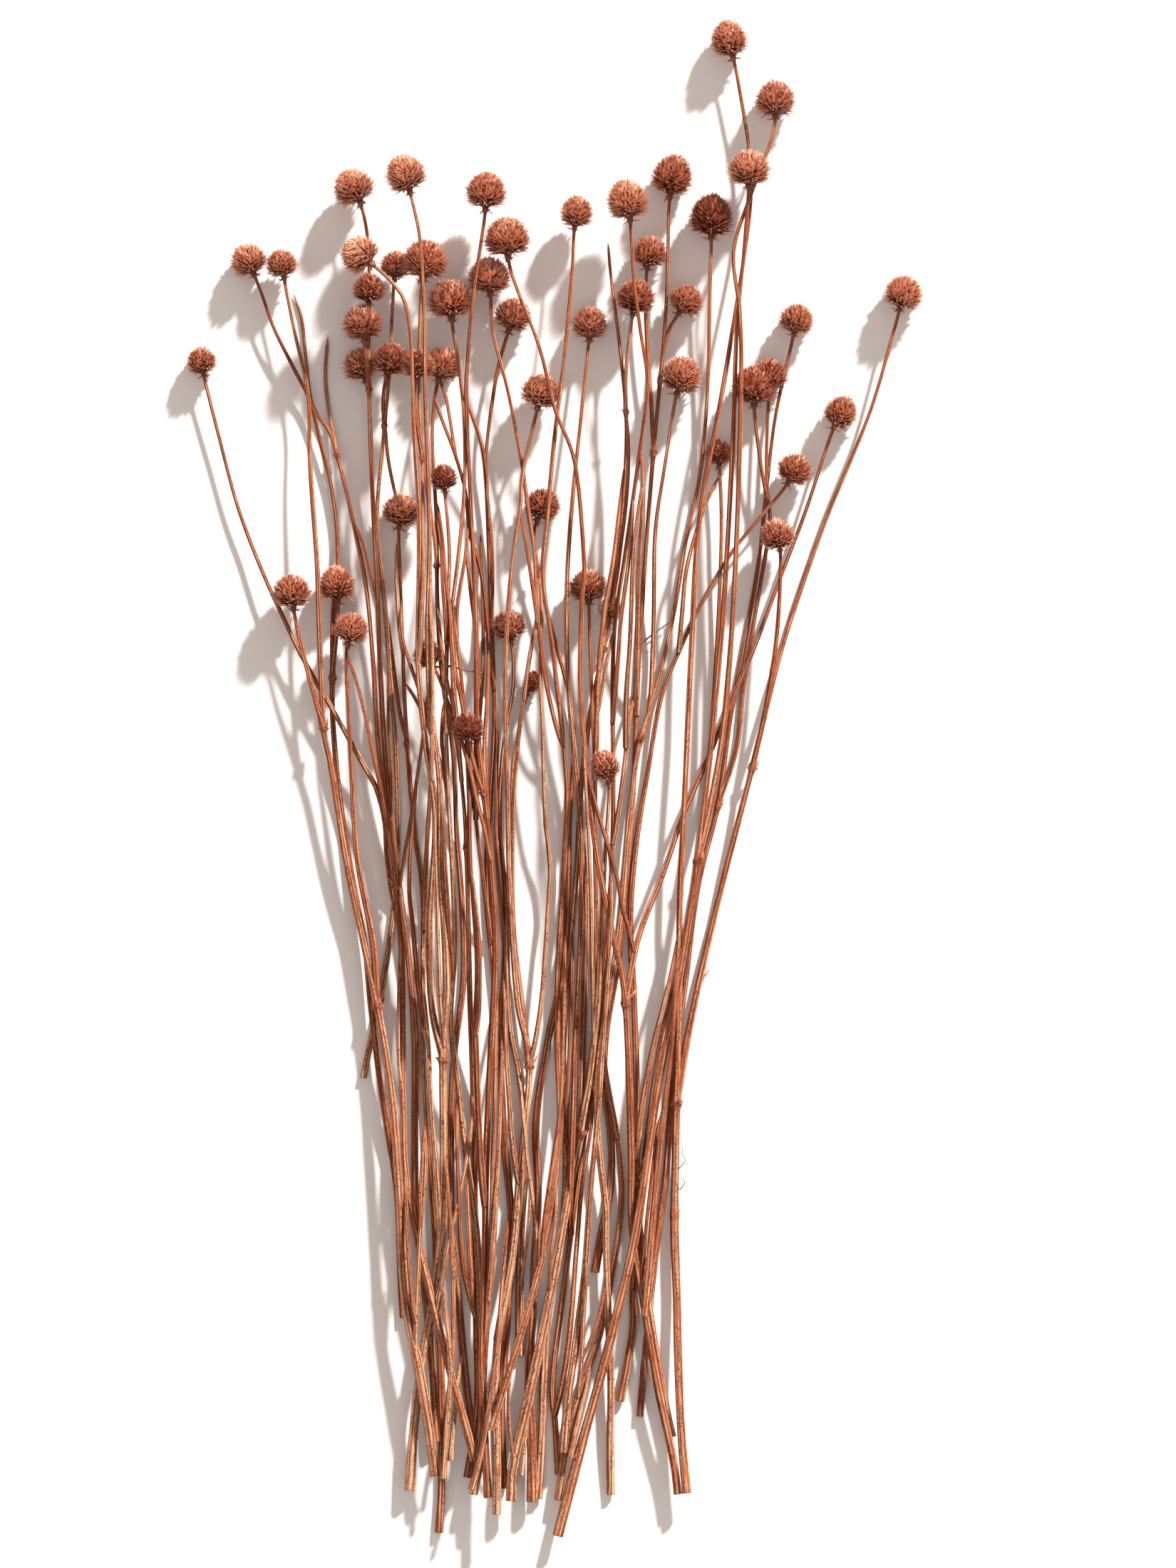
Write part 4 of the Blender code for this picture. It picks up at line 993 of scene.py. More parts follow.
class Parts:
    """The surfaces of one piece, gathered with the values that its materials read."""

    def __init__(self):
        self.points = []
        self.corners = []
        self.sizes = []
        self.materials = []
        self.smooth = []
        self.values = {}
        self.count = 0

    def add(self, points, faces, material, smooth, **values):
        """Take in one surface; faces is a list of corner arrays with 3 or 4 columns."""
        slots = np.broadcast_to(material, len(faces))
        for face, slot, soft in zip(faces, slots, np.broadcast_to(smooth, len(faces))):
            self.corners.append((face + self.count).ravel())
            self.sizes.append(np.full(len(face), face.shape[1]))
            self.materials.append(np.full(len(face), slot))
            self.smooth.append(np.full(len(face), soft))
        for name, value in values.items():
            column = np.broadcast_to(value, (len(points), 3) if name in VECTORS else len(points))
            self.values.setdefault(name, []).append((self.count, column))
        self.points.append(points)
        self.count += len(points)

    def piece(self, name, number, shift, materials):
        """Make the mesh object, put it in the frame, and hide the node that it stands for."""
        mesh = bpy.data.meshes.new(name)
        points = np.vstack(self.points) * MM + shift
        points[:, 2] = np.maximum(points[:, 2], 0.0)
        sizes = np.concatenate(self.sizes)
        corners = np.concatenate(self.corners)
        mesh.vertices.add(len(points))
        mesh.vertices.foreach_set("co", points.astype(np.float32).ravel())
        mesh.loops.add(len(corners))
        mesh.loops.foreach_set("vertex_index", corners.astype(np.int32))
        mesh.polygons.add(len(sizes))
        starts = np.concatenate([[0], np.cumsum(sizes)[:-1]])
        mesh.polygons.foreach_set("loop_start", starts.astype(np.int32))
        slots = np.concatenate(self.materials).astype(np.int32)
        mesh.polygons.foreach_set("material_index", slots)
        mesh.polygons.foreach_set("use_smooth", np.concatenate(self.smooth).astype(bool))
        for key, runs in self.values.items():
            wide = 3 if key in VECTORS else 1
            column = np.zeros((self.count, wide), np.float32)
            for start, value in runs:
                column[start:start + len(value)] = value.reshape(-1, wide)
            kind = "FLOAT_VECTOR" if wide == 3 else "FLOAT"
            store = mesh.attributes.new(key, kind, "POINT")
            store.data.foreach_set("vector" if wide == 3 else "value", column.ravel())
        mesh.update(calc_edges=True)
        if mesh.validate():
            raise RuntimeError(f"{name} has broken faces")
        thing = bpy.data.objects.new(name, mesh)
        bpy.context.scene.collection.objects.link(thing)
        for material in materials:
            mesh.materials.append(material)
        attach(thing, BODY)
        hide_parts(node_name(number))
        return thing


def stem_turns(s, ridges, draw):
    """The turn of each corner of each ring: even ridges of four corners, slowly twisting."""
    steps = (np.arange(ridges)[:, None] + np.array(RIDGE_STEPS)).ravel() / ridges
    twist = draw.uniform(0, 2 * np.pi) + draw.uniform(-TWIST, TWIST) * s
    return 2 * np.pi * steps[None, :] + twist[:, None]


def stem_places(branch):
    """Even steps along a branch, and close ones at its foot, its knots and its marks."""
    places = [np.arange(0, branch.total, STEM_STEP), [FOOT_RIM, branch.total]]
    for knot in branch.knots + branch.marks:
        places.append(knot + np.array(KNOT_STEPS))
    places = np.unique(np.clip(np.concatenate(places), 0, branch.total))
    keep = np.concatenate([[True], np.diff(places) > CLOSEST_STEP])
    keep[-1] = True
    return places[keep]


def add_stem(parts, branch, seed, depth, tint):
    """One branch: radius R(s) * (1 + depth * ridge(a)) * (1 + wander(s)), swollen in a lip
    at each knot and ring, and shrunk to a dry point if it has no head."""
    draw = np.random.default_rng(seed)
    s = stem_places(branch)
    ridges = RIDGES_MAIN if branch.parent is None else RIDGES_SIDE
    turns = stem_turns(s, ridges, draw)
    base = branch.radius(s)
    phase = draw.uniform(0, 2 * np.pi, 3)
    short, long = (np.sin(s / run + start) for run, start in zip(WANDER_RUNS, phase))
    base = base * (1 + WANDER * short * long)
    knot = np.zeros(len(s))
    for place, size in [(k, 1.0) for k in branch.knots] + [(m, MARK_SIZE) for m in branch.marks]:
        near = np.exp(-((s - place) / KNOT_REACH) ** 2)
        lip = np.exp(-((s - place + LIP_BACK) / LIP_REACH) ** 2)
        base = base * (1 + size * (KNOT_SWELL * near + LIP_SWELL * lip))
        knot = np.maximum(knot, size * np.maximum(near, lip))
    if branch.head is None:
        base = base * np.clip((branch.total - s) / TIP_REACH, TIP_LEAST, 1)
    profile = np.tile(RIDGE_DEPTHS, ridges)
    uneven = draw.uniform(*RIDGE_UNEVEN, ridges).repeat(len(RIDGE_STEPS))
    radii = base[:, None] * (1 + depth * profile * uneven)[None, :]
    centres = branch.line(s)
    points, walls, foot, tip = carry(centres, radii, turns)
    from_foot = branch.start_height + s
    grain = np.stack([base[:, None] * np.cos(turns), base[:, None] * np.sin(turns),
                      np.repeat(from_foot[:, None], turns.shape[1], axis=1)], axis=-1)
    grain = np.vstack([grain.reshape(-1, 3), np.zeros((2, 3))])
    grain[-2:, 2] = from_foot[[0, -1]]
    grain = grain + draw.uniform(0, GRAIN_SPREAD, 3)
    across = turns.shape[1]

    def rings(value):
        """A value for each ring, put on all its corners and on the two end points."""
        return np.concatenate([np.repeat(value, across), value[[0, -1]]])

    # Painted shade across each ridge: 1 at the groove bottoms, 0 on the crests, weaker on shallow
    # ridges
    shades = np.tile(RIDGE_SHADES, ridges) * np.clip(uneven, 0, 1)
    groove = np.concatenate([np.tile(shades, len(s)), [0, 0]])
    neck = np.clip(1 - (branch.total - s) / NECK_REACH, 0, 1) if branch.head else 0 * s
    height = np.clip(from_foot / TALL, 0, 1)
    slots = (CUT if branch.parent is None else SKIN, SKIN, SKIN)
    share = np.concatenate([np.ones(radii.size), [0, 0]])
    parts.add(points, (foot, walls, tip), slots, (False, True, False), grain=grain,
              groove=groove, height=rings(height), knot=rings(knot), neck=rings(neck),
              share=share, tint=tint)


def add_scales(parts, slot, made, tint, shade):
    """Put scales into a piece, with their length share, their edges and their own tints."""
    points, faces, shares, edges, each = made
    tints = np.repeat(tint, each) if np.ndim(tint) else tint
    parts.add(points, (faces,), slot, False, share=shares, edge=edges, tint=tints, shade=shade)


def stub_leaves(branch, place, length, lean, draw):
    """A dry leaf stub that stands off a fork: a scale leant from the stem's line."""
    here, ahead_point = branch.line(np.array([place, min(place + 1, branch.total)]))
    ahead = unit(ahead_point - here)
    side = unit(np.cross(ahead, (0, 0, 1)))
    lean = np.radians(lean)
    rise = np.array((0, 0, draw.uniform(0, STUB_RISE)))
    way = np.cos(lean) * ahead + np.sin(lean) * side + rise
    out = np.sign(lean) * side + np.array((0, 0, STUB_UP))
    radius = float(branch.radius(np.array(place)))
    base = here + STUB_ROOT * radius * np.sign(lean) * side
    wide = np.array([max(STUB_WIDTH, radius)])
    return scales(base[None], way[None], out[None], np.array([length]), wide,
                  wide * STUB_KEEL, np.array([draw.uniform(*STUB_CURL)]))


def collar_scales(branch, knot, draw):
    """The ragged ring at a fork: short, wide scales round the stem that lean along it."""
    here, after = branch.line(np.array([knot, min(knot + 1, branch.total)]))
    turn = facing(unit(after - here))
    angle = np.arange(COLLAR_SCALES) * 2 * np.pi / COLLAR_SCALES + draw.uniform(0, 1)
    spoke = np.stack([np.cos(angle), np.sin(angle), 0 * angle], axis=1)
    radius = float(branch.radius(np.array(knot)))
    base = spoke * radius * COLLAR_ROOT
    base[:, 2] = draw.uniform(*COLLAR_SHIFT, COLLAR_SCALES)
    ahead = unit(spoke * draw.uniform(*COLLAR_LEAN, (COLLAR_SCALES, 1)) + np.array((0, 0, 1.0)))
    wide = radius * draw.uniform(*COLLAR_WIDTH, COLLAR_SCALES)
    return scales(here + base @ turn.T, ahead @ turn.T, spoke @ turn.T,
                  draw.uniform(*COLLAR_LENGTH, COLLAR_SCALES), wide, wide * STUB_KEEL,
                  draw.uniform(*COLLAR_CURL, COLLAR_SCALES))


def head_frame(branch, draw):
    """The middle of a head, the neck's turn, and the head's own, which nods a little."""
    end, before = branch.line(np.array([branch.total, branch.total - NOD_REACH]))
    axis = unit(end - before)
    return end, facing(axis), facing(unit(axis + draw.normal(0, NOD, 3)))


def add_head(parts, branch, settings, seed, tint):
    """A round head: a dark core as painted shade between the bracts, keeled bracts on a
    sunflower lattice that point out and toward the crown, a small cup under them and curled
    sepals round the neck."""
    draw = np.random.default_rng(seed)
    width, length = branch.head[2], branch.head[3]
    half = np.array([width, width, length]) / 2
    centre, level, turn = head_frame(branch, draw)
    polar = np.linspace(0, np.pi, CORE_ROWS)
    core_z = -CORE_SHARE * half[2] * np.cos(polar)
    core_r = np.maximum(CORE_SHARE * half[0] * np.sin(polar), CORE_LEAST)
    points, walls, ends = turned(centre, turn, core_z, core_r, CORE_SIDES)
    parts.add(points, (walls, ends), CORE, True, share=0, edge=0, tint=tint, shade=1)

    count = int(settings.bract_density * width * length)
    k = np.arange(count) + 0.5
    cos_polar = 1 - k / count * (1 - np.cos(np.radians(LAST_BRACT)))
    angle = k * GOLDEN + draw.uniform(0, 2 * np.pi)
    angle = angle + draw.normal(0, LATTICE_WANDER, count)
    sin_polar = np.sqrt(1 - cos_polar**2)
    normal = np.stack([sin_polar * np.cos(angle), sin_polar * np.sin(angle), cos_polar], axis=1)
    below = np.degrees(np.arccos(cos_polar))
    off_axis = np.arccos(cos_polar) * (1 - settings.bract_lean)
    ahead = np.stack([np.sin(off_axis) * np.cos(angle), np.sin(off_axis) * np.sin(angle),
                      np.cos(off_axis)], axis=1)
    out = np.stack([np.cos(off_axis) * np.cos(angle), np.cos(off_axis) * np.sin(angle),
                    -np.sin(off_axis)], axis=1)
    ahead = unit(ahead + draw.normal(0, BRACT_WANDER, (count, 3)))
    base = normal * half * BRACT_ROOT
    reach = (1 - BRACT_ROOT) * half[0] / np.clip((ahead * normal).sum(axis=1), BRACT_TURN, 1)
    reach = np.maximum(reach, BRACT_LEAST * width) * draw.uniform(*BRACT_SPREAD, count)
    reach = reach * np.where(draw.uniform(size=count) < LONG_SHARE, LONG_REACH, 1)
    wide = settings.bract_width / MM * width / HEAD_NORM
    wide = wide * draw.uniform(*BRACT_WIDTHS, count)
    made = scales(centre + base @ turn.T, ahead @ turn.T, out @ turn.T, reach, wide,
                  wide * BRACT_KEEL, draw.uniform(*BRACT_CURL, count))
    # Painted shade on the underside of the head, by each bract's angle from the crown
    shade = np.repeat(np.clip((below - SHADE_FROM) / SHADE_SPAN, 0, 1), made[4])
    tints = np.clip(tint + draw.normal(0, TINT_WANDER, count), 0, 1)
    add_scales(parts, BRACT, made, tints, shade)

    neck = float(branch.radius(np.array(branch.total)))
    cup = branch.line(branch.total - half[2] * np.array(CUP_PLACES))
    cup_r = neck + (half[0] * CUP_WIDTH - neck) * np.array(CUP_SWELL)
    turns = np.tile(np.arange(CUP_SIDES) * 2 * np.pi / CUP_SIDES, (len(cup), 1))
    points, walls, *ends = carry(cup, np.tile(cup_r[:, None], CUP_SIDES), turns)
    parts.add(points, (walls, *ends), DRY, True, share=0, edge=0, tint=CUP_TINT, shade=0)
    count = draw.integers(*SEPAL_COUNT)
    angle = np.linspace(0, 2 * np.pi, count, endpoint=False)
    angle = angle + draw.uniform(-SEPAL_JITTER, SEPAL_JITTER, count)
    spoke = np.stack([np.cos(angle), np.sin(angle), 0 * angle], axis=1)
    ahead = unit(spoke + np.array((0, 0, 1.0)) * draw.uniform(*SEPAL_LEAN, count)[:, None])
    base = spoke * half[0] * CUP_WIDTH * SEPAL_ROOT
    base = base - np.array((0, 0, half[2] * SEPAL_PLACE))
    long = draw.uniform(*SEPAL_LENGTH, count)
    wide = draw.uniform(*SEPAL_WIDTH, count)
    made = scales(centre + base @ level.T, ahead @ level.T,
                  np.tile(-level[:, 2], (count, 1)), long, wide, wide * SEPAL_KEEL,
                  draw.uniform(*SEPAL_CURL, count))
    add_scales(parts, DRY, made, draw.uniform(*SEPAL_TINTS, count), 0)


def colour(settings, name):
    """One of the colours of a settings group, with full alpha."""
    return (*getattr(settings, name), 1.0)


def node(tree, kind, inputs=None, **settings):
    """A shader node with its settings; an input is a value, or a socket to link."""
    made = tree.nodes.new(kind)
    for name, value in settings.items():
        setattr(made, name, value)
    for name, value in (inputs or {}).items():
        if isinstance(value, bpy.types.NodeSocket):
            tree.links.new(value, made.inputs[name])
        else:
            made.inputs[name].default_value = value
    return made


def attribute(tree, name):
    """One of the piece's own stored values: its vector, or its single number."""
    made = node(tree, "ShaderNodeAttribute", attribute_name=name)
    return made.outputs["Vector" if name in VECTORS else "Fac"]


def blend(tree, factor, first, second):
    """Two colours mixed by a mask."""
    made = node(tree, "ShaderNodeMix", {0: factor, 6: first, 7: second}, data_type="RGBA")
    return made.outputs[2]


def maths(tree, operation, first, second, clamp=False):
    """Two numbers put together."""
    made = node(tree, "ShaderNodeMath", {0: first, 1: second}, operation=operation,
                use_clamp=clamp)
    return made.outputs[0]


def remap(tree, value, low, high, least=0.0, most=1.0):
    """A number taken smoothly from one range to another."""
    made = node(tree, "ShaderNodeMapRange", {"Value": value, "From Min": low, "From Max": high,
                                             "To Min": least, "To Max": most},
                interpolation_type="SMOOTHSTEP")
    return made.outputs[0]


def long_grain_group():
    """Noise drawn out along the third axis, cut to a mask between Low and High."""
    group = bpy.data.node_groups.new("Long grain", "ShaderNodeTree")
    face = group.interface
    face.new_socket("Vector", in_out="INPUT", socket_type="NodeSocketVector")
    for name, value in (("Across", 0.5), ("Along", 8.0), ("Low", 0.4), ("High", 0.6)):
        socket = face.new_socket(name, in_out="INPUT", socket_type="NodeSocketFloat")
        socket.default_value = value
    face.new_socket("Mask", in_out="OUTPUT", socket_type="NodeSocketFloat")
    given = group.nodes.new("NodeGroupInput").outputs
    across = maths(group, "DIVIDE", 1.0, given["Across"])
    along = maths(group, "DIVIDE", 1.0, given["Along"])
    stretch = node(group, "ShaderNodeCombineXYZ", {0: across, 1: across, 2: along})
    place = node(group, "ShaderNodeVectorMath", {0: given["Vector"], 1: stretch.outputs[0]},
                 operation="MULTIPLY")
    noise = node(group, "ShaderNodeTexNoise", {"Vector": place.outputs[0], "Scale": 1.0,
                                               "Detail": 3.0, "Roughness": 0.6})
    mask = remap(group, noise.outputs[0], given["Low"], given["High"])
    node(group, "NodeGroupOutput", {"Mask": mask})
    return group


def grain(tree, vector, across, along, low, high):
    """The long grain mask with its sizes in millimetres."""
    group = bpy.data.node_groups.get("Long grain") or long_grain_group()
    made = tree.nodes.new("ShaderNodeGroup")
    made.node_tree = group
    tree.links.new(vector, made.inputs["Vector"])
    for name, value in (("Across", across), ("Along", along), ("Low", low), ("High", high)):
        made.inputs[name].default_value = value
    return made.outputs["Mask"]


def mask_of(tree, place, factors):
    """The product of a layer's factors."""
    product = None
    for given in factors:
        if isinstance(given, str):
            given = attribute(tree, given)
        elif isinstance(given, tuple) and isinstance(given[0], str):
            given = remap(tree, attribute(tree, given[0]), *given[1:])
        elif isinstance(given, tuple):
            given = grain(tree, place, *given)
        product = given if product is None else maths(tree, "MULTIPLY", product, given)
    return product


def layers(tree, place, base, settings, rows):
    """Colours laid one over another, each where its mask is."""
    for name, *factors in rows:
        mask = mask_of(tree, place, factors)
        base = blend(tree, mask, base, colour(settings, name + "_colour"))
    return base


def object_millimetres(tree):
    """Object coordinates in millimetres."""
    place = node(tree, "ShaderNodeTexCoord").outputs["Object"]
    return node(tree, "ShaderNodeVectorMath", {0: place, "Scale": 1 / MM},
                operation="SCALE").outputs[0]


def material(name):
    """A new material with its empty Principled shader."""
    made = bpy.data.materials.new(name)
    made.use_nodes = True
    return made, made.node_tree, made.node_tree.nodes["Principled BSDF"]


def finish(tree, shader, base, mask, rough, height, depth, gloss=GLOSS):
    """Link a colour, a roughness that follows a mask, and a bump of the given depth."""
    tree.links.new(base, shader.inputs["Base Color"])
    tree.links.new(remap(tree, mask, 0.0, 1.0, *rough), shader.inputs["Roughness"])
    shader.inputs["Specular IOR Level"].default_value = gloss
    bump = node(tree, "ShaderNodeBump", {"Height": height, "Strength": 1.0, "Distance": depth})
    tree.links.new(bump.outputs[0], shader.inputs["Normal"])


def stem_skin(s):
    """Dry ribbed stem: pale at the foot and orange above, with painted shade in the grooves,
    red painted shade on the ridges' flanks and a painted highlight on their crests, with red,
    pale and dark patches, fine fibres, dark specks, dark knots and a dark neck."""
    made, tree, shader = material("ribbed_stem_skin")
    place = attribute(tree, "grain")
    own = node(tree, "ShaderNodeMath", {0: attribute(tree, "tint"), 1: AGE_TINT, 2: AGE_START},
               operation="MULTIPLY_ADD").outputs[0]
    age = maths(tree, "ADD", attribute(tree, "height"), own, clamp=True)
    base = blend(tree, remap(tree, age, *AGE_RANGE), colour(s, "low_colour"),
                 colour(s, "high_colour"))
    base = layers(tree, place, base, s, STEM_LOW)
    # Painted shade in the grooves, broken by grain
    shade_breaks = remap(tree, grain(tree, place, *GROOVE_SHADE_BREAKS), 0.0, 1.0, *GROOVE_SHADE_UNEVEN)
    base = layers(tree, place, base, s, (("groove", *STEM_GROOVE_SHADE, shade_breaks),))
    specks = mask_of(tree, place, (*STEM_SPECKS, s.speckling))
    base = layers(tree, place, base, s, (("speck", specks), *STEM_KNOTS))
    fibres = grain(tree, place, *FIBRES)
    bumps = maths(tree, "ADD", maths(tree, "MULTIPLY", fibres, FIBRE_BUMP),
                  maths(tree, "MULTIPLY", specks, SPECK_BUMP))
    finish(tree, shader, base, fibres, STEM_ROUGH, bumps, s.fibre_depth, STEM_GLOSS)
    return made


def cut_face(s):
    """The cut foot: pale, pitted pith inside a dark rind."""
    made, tree, shader = material("cut_stem_foot")
    place = object_millimetres(tree)
    base = layers(tree, place, colour(s, "pith_colour"), s, CUT_LAYERS)
    pits = grain(tree, place, *PITS)
    finish(tree, shader, base, pits, CUT_ROUGH, pits, s.fibre_depth)
    return made


def bract_skin(s):
    """A head's bracts: painted shade at the root, terracotta, paler toward the point, partly as
    a painted highlight, and painted shade on the head's underside.
    """
    made, tree, shader = material("bract_terracotta")
    place = object_millimetres(tree)
    base = blend(tree, mask_of(tree, place, (BRACT_MAIN,)), colour(s, "dark_colour"),
                 colour(s, "bract_colour"))
    mottle = grain(tree, place, *MOTTLE)
    patches = remap(tree, mottle, 0.0, 1.0, *BRACT_PATCHES)
    # Pale points on the bracts, partly a painted highlight
    base = layers(tree, place, base, s, (("pale", patches, *BRACT_PALE_AND_GLINT), *BRACT_LAYERS))
    fine = grain(tree, place, *FINE)
    finish(tree, shader, base, mottle, BRACT_ROUGH, fine, s.bract_bump, BRACT_GLOSS)
    return made


def core_shade_skin(s):
    """Painted shade between a head's bracts: the dark heart of the head."""
    made, tree, shader = material("head_core_shade")
    mask = grain(tree, object_millimetres(tree), *HEART)
    base = blend(tree, mask, colour(s, "core_colour"), colour(s, "dark_colour"))
    finish(tree, shader, base, mask, CORE_ROUGH, mask, s.bract_bump)
    return made


def dry_leaf(s):
    """Dry brown sepals, cups, collar scales, leaf stubs and threads."""
    made, tree, shader = material("dry_leaf")
    place = object_millimetres(tree)
    mask = grain(tree, place, *LEAF)
    base = blend(tree, mask, colour(s, "dry_colour"), colour(s, "dry_dark_colour"))
    base = layers(tree, place, base, s, DRY_LAYERS)
    finish(tree, shader, base, mask, DRY_ROUGH, mask, s.bract_bump)
    return made


def shade_value(name, description, default):
    """A colour of a settings group."""
    return FloatVectorProperty(name=name, description=description, subtype="COLOR", size=3,
                               min=0.0, max=1.0, default=default)


class StemSettings(bpy.types.PropertyGroup):
    """Sizes and colours of the stems."""

    ridge_depth: FloatProperty(name="Ridge depth", description="How deep the grooves are, as a "
                               "share of the stem's radius", default=0.2, min=0.0, max=0.4,
                               subtype="FACTOR")
    fibre_depth: FloatProperty(name="Fibre depth", description="How far fibres and specks "
                               "sink in", default=0.00012, min=0.0, max=0.001, unit="LENGTH",
                               precision=5)
    speckling: FloatProperty(name="Speckling", description="How much the dark specks show",
                             default=0.95, min=0.0, max=1.0, subtype="FACTOR")
    low_colour: shade_value("Low down", "Skin near the cut foot", (0.66, 0.41, 0.22))
    high_colour: shade_value("High up", "Skin toward the heads", (0.45, 0.122, 0.046))
    # Bleached patches and stems, and the painted highlight on the ridge crests
    pale_colour: shade_value("Pale", "Bleached ridges", (0.78, 0.52, 0.33))
    # Red patches, and the painted shade on the ridges' flanks
    red_colour: shade_value("Red", "Red patches", (0.40, 0.088, 0.027))
    # Painted shade in the grooves; the same dark colour also draws the fibres and the streaks on
    # dark stems
    groove_colour: shade_value("Groove", "Bottom of the grooves", (0.085, 0.016, 0.006))
    speck_colour: shade_value("Specks", "Small dark specks", (0.14, 0.018, 0.006))
    knot_colour: shade_value("Knot", "Knots, necks and rinds", (0.13, 0.038, 0.024))
    pith_colour: shade_value("Pith", "Inside of the cut foot", (0.60, 0.40, 0.24))


class HeadSettings(bpy.types.PropertyGroup):
    """Sizes and colours of the heads, the sepals and the dry leaf stubs."""

    bract_density: FloatProperty(name="Bracts", description="Bracts for each square millimetre "
                                 "of the head's width times its length", default=3.4, min=0.2,
                                 max=4.0)
    bract_width: FloatProperty(name="Bract width", description="Width of a bract on a head of "
                               "15 mm", default=0.00105, min=0.0005, max=0.004, unit="LENGTH",
                               precision=4)
    bract_lean: FloatProperty(name="Bract lean", description="How far the bracts turn from "
                              "square to the head toward its crown", default=0.45, min=0.0,
                              max=0.9, subtype="FACTOR")
    bract_bump: FloatProperty(name="Bract relief", description="Depth of the bracts' fine "
                              "relief", default=0.00008, min=0.0, max=0.001, unit="LENGTH",
                              precision=5)
    bract_colour: shade_value("Bract", "Main colour of a bract", (0.88, 0.34, 0.175))
    # Pale points of the bracts, partly a painted highlight
    pale_colour: shade_value("Bract point", "Points and pale places", (0.98, 0.66, 0.51))
    dark_colour: shade_value("Dark bract", "Dark bracts and lines", (0.34, 0.082, 0.040))
    core_colour: shade_value("Core", "Between the bracts", (0.10, 0.024, 0.013))
    # Painted shade between the bracts, on the core and the bract roots
    dry_colour: shade_value("Dry leaf", "Sepals and leaf stubs", (0.30, 0.115, 0.065))
    dry_dark_colour: shade_value("Dark leaf", "Dark places on dry leaves", (0.10, 0.03, 0.018))


class StageSettings(bpy.types.PropertyGroup):
    """The floor, the light and the camera."""

    floor_colour: shade_value("Floor", "Plain pale floor", (0.88, 0.88, 0.88))
    sun_strength: FloatProperty(name="Key light", description="Strength of the key light",
                                default=8.3, min=0.0, max=20.0)
    sun_height: FloatProperty(name="Key height", description="How high the key light stands",
                              default=np.radians(27), min=0.1, max=1.57, subtype="ANGLE")
    sun_way: FloatProperty(name="Key direction", description="Where the key light stands, from "
                           "the right toward the heads", default=np.radians(61), min=-3.2,
                           max=3.2, subtype="ANGLE")
    sun_size: FloatProperty(name="Key softness", description="Seen size of the key light",
                            default=np.radians(4), min=0.0, max=1.0, subtype="ANGLE")
    fill_strength: FloatProperty(name="Fill light", description="Strength of the even fill",
                                 default=0.64, min=0.0, max=5.0)
    lens: FloatProperty(name="Lens", description="Focal length of the camera in millimetres",
                        default=250.0, min=20.0, max=300.0)


class BUNCH_OT_stems(bpy.types.Operator):
    """Make the ribbed, forking stems of every spray"""

    bl_idname = "bunch.stems"
    bl_label = "Stems"

    def execute(self, context):
        s = context.scene.bunch_stems
        sprays, shift = lay_bunch()
        materials = (stem_skin(s), cut_face(s))
        for number, branches in enumerate(sprays, start=1):
            parts = Parts()
            draw = np.random.default_rng(STEM_SEED + number)
            tint = draw.uniform()
            for k, branch in enumerate(branches):
                own = np.clip(tint + draw.normal(0, BRANCH_TINT), 0, 1)
                add_stem(parts, branch, (STEM_SEED, number, k), s.ridge_depth, own)
            parts.piece(f"{node_name(number)}_stem", number, shift, materials)
        return {"FINISHED"}


class BUNCH_OT_heads(bpy.types.Operator):
    """Make the round spiky heads with their cups and sepals"""

    bl_idname = "bunch.heads"
    bl_label = "Heads"

    def execute(self, context):
        s = context.scene.bunch_heads
        sprays, shift = lay_bunch()
        materials = (bract_skin(s), core_shade_skin(s), dry_leaf(s))
        for number, branches in enumerate(sprays, start=1):
            parts = Parts()
            draw = np.random.default_rng(HEAD_SEED + number)
            for k, branch in enumerate(branches):
                tint = draw.uniform(*HEAD_TINTS)
                if (number, k) in DARK_HEADS:
                    tint = DARK_TINT
                if (number, k) in PALE_HEADS:
                    tint = PALE_TINT
                if branch.head:
                    add_head(parts, branch, s, (HEAD_SEED, number, k), tint)
            if parts.count:
                parts.piece(f"{node_name(number)}_heads", number, shift, materials)
        return {"FINISHED"}


class BUNCH_OT_stubs(bpy.types.Operator):
    """Make the collar scales and dry leaf stubs at the forks, and the curled threads"""

    bl_idname = "bunch.stubs"
    bl_label = "Leaf stubs"

    def execute(self, context):
        s = context.scene.bunch_heads
        sprays, shift = lay_bunch()
        leaf = dry_leaf(s)
        pieces = {}
        owners = [(b, n) for n, branches in enumerate(sprays, start=1) for b in branches]
        draw = np.random.default_rng(STUB_SEED)
        for branch, number in owners:
            for knot in branch.knots:
                made = collar_scales(branch, knot, draw)
                tints = draw.uniform(*COLLAR_TINTS, COLLAR_SCALES)
                add_scales(pieces.setdefault(number, Parts()), 0, made, tints, 0)
        for x, y, length, lean in STUBS:
            branch, number = min(owners, key=lambda o: o[0].nearest((x, y))[0])
            made = stub_leaves(branch, branch.nearest((x, y))[1], length, lean, draw)
            tint = draw.uniform(*STUB_TINTS)
            add_scales(pieces.setdefault(number, Parts()), 0, made, tint, 0)
        for radius, points in THREADS:
            branch, number = min(owners, key=lambda o: o[0].nearest(points[0])[0])
            start = branch.line(np.array([branch.nearest(points[0])[1]]))[0]
            height = start[2] + np.linspace(0, THREAD_RISE, len(points))
            route = np.vstack([start, np.column_stack([points, height])])
            line = spline(route)
            thin = radius * np.linspace(1, THREAD_TIP, len(line))
            turns = np.tile(np.arange(THREAD_SIDES) * 2 * np.pi / THREAD_SIDES, (len(line), 1))
            body, walls, foot, tip = carry(line, np.tile(thin[:, None], THREAD_SIDES), turns)
            pieces.setdefault(number, Parts()).add(body, (walls, foot, tip), 0, True, share=0,
                                                   edge=0, tint=THREAD_TINT, shade=0)
        for number, parts in sorted(pieces.items()):
            parts.piece(f"{node_name(number)}_stubs", number, shift, (leaf,))
        return {"FINISHED"}


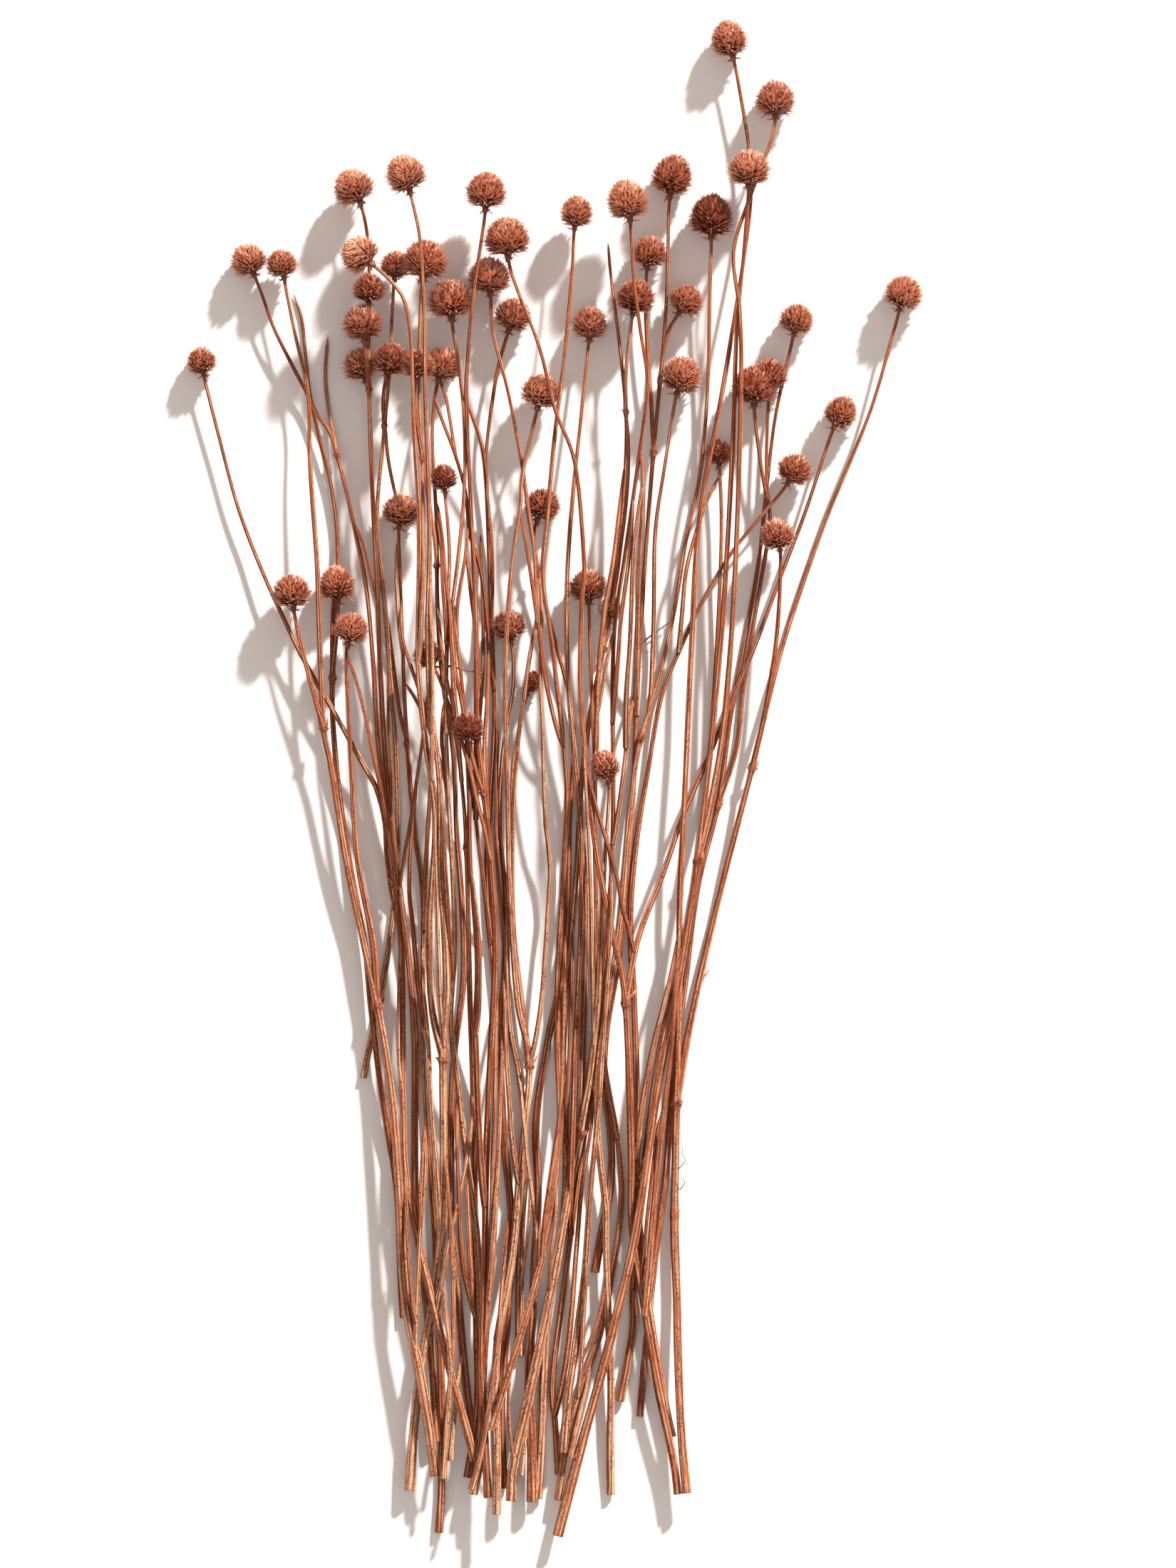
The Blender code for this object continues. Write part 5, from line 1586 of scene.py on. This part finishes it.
class BUNCH_OT_stage(bpy.types.Operator):
    """Make the pale floor, the lights and the camera that looks straight down"""

    bl_idname = "bunch.stage"
    bl_label = "Stage"

    def execute(self, context):
        s = context.scene.bunch_stage
        scene = context.scene
        shift = lay_bunch()[1]
        middle = np.array((*PHOTO_MIDDLE, 0.0)) * MM + shift

        corners = np.array(((-1, -1), (1, -1), (1, 1), (-1, 1))) * FLOOR_HALF
        points = np.column_stack([corners, np.full(4, FLOOR_DROP)])
        mesh = bpy.data.meshes.new("floor")
        mesh.from_pydata(points.tolist(), [], [(0, 1, 2, 3)])
        floor = bpy.data.objects.new("floor", mesh)
        scene.collection.objects.link(floor)
        made, tree, shader = material("pale_floor")
        place = object_millimetres(tree)
        mask = grain(tree, place, *FLOOR_CLOUDS)
        dim = tuple(FLOOR_DIM * c for c in s.floor_colour) + (1.0,)
        base = blend(tree, mask, colour(s, "floor_colour"), dim)
        fine = grain(tree, place, *FLOOR_FINE)
        finish(tree, shader, base, mask, FLOOR_ROUGH, fine, FLOOR_RELIEF, FLOOR_GLOSS)
        mesh.materials.append(made)

        key = bpy.data.lights.new("key", "SUN")
        key.energy = s.sun_strength
        key.angle = s.sun_size
        key.color = KEY_COLOUR
        lamp = bpy.data.objects.new("key", key)
        flat = np.cos(s.sun_height)
        to_lamp = (flat * np.cos(s.sun_way), flat * np.sin(s.sun_way), np.sin(s.sun_height))
        lamp.rotation_euler = Vector(to_lamp).to_track_quat("Z", "Y").to_euler()
        lamp.location = to_lamp
        scene.collection.objects.link(lamp)

        world = bpy.data.worlds.new("fill")
        world.use_nodes = True
        fill = world.node_tree.nodes["Background"]
        fill.inputs["Color"].default_value = FILL_COLOUR
        fill.inputs["Strength"].default_value = s.fill_strength
        scene.world = world
        scene.view_settings.view_transform = "Standard"

        lens = bpy.data.cameras.new("camera")
        lens.lens = s.lens
        lens.sensor_width = SENSOR
        lens.clip_end = CLIP_END
        camera = bpy.data.objects.new("camera", lens)
        distance = PHOTO_TALL * MM * s.lens / SENSOR + LOOK_HEIGHT * MM
        camera.location = (middle[0], middle[1], distance)
        scene.collection.objects.link(camera)
        scene.camera = camera
        return {"FINISHED"}


class BUNCH_PT_panel(bpy.types.Panel):
    """The bunch's pieces and their settings"""

    bl_idname = "BUNCH_PT_panel"
    bl_label = "Dried bunch"
    bl_space_type = "VIEW_3D"
    bl_region_type = "UI"
    bl_category = "Dried bunch"

    def draw(self, context):
        scene = context.scene
        rows = ((BUNCH_OT_stems, scene.bunch_stems), (BUNCH_OT_heads, scene.bunch_heads),
                (BUNCH_OT_stubs, None), (BUNCH_OT_stage, scene.bunch_stage))
        for operator, settings in rows:
            box = self.layout.box()
            box.operator(operator.bl_idname)
            for name in settings.__annotations__ if settings else ():
                box.prop(settings, name)


CLASSES = (StemSettings, HeadSettings, StageSettings, BUNCH_OT_stems, BUNCH_OT_heads,
           BUNCH_OT_stubs, BUNCH_OT_stage, BUNCH_PT_panel)


def register():
    """Register the classes and hang the settings on the scene."""
    for one in CLASSES:
        bpy.utils.register_class(one)
    bpy.types.Scene.bunch_stems = PointerProperty(type=StemSettings)
    bpy.types.Scene.bunch_heads = PointerProperty(type=HeadSettings)
    bpy.types.Scene.bunch_stage = PointerProperty(type=StageSettings)


def unregister():
    """Take the settings and the classes away again."""
    for name in ("bunch_stems", "bunch_heads", "bunch_stage"):
        delattr(bpy.types.Scene, name)
    for one in reversed(CLASSES):
        bpy.utils.unregister_class(one)


def main():
    """Make every piece and the stage."""
    register()
    for make in (bpy.ops.bunch.stems, bpy.ops.bunch.heads, bpy.ops.bunch.stubs,
                 bpy.ops.bunch.stage):
        if make() != {"FINISHED"}:
            raise RuntimeError(f"{make} did not finish")


if __name__ == "__main__":
    main()
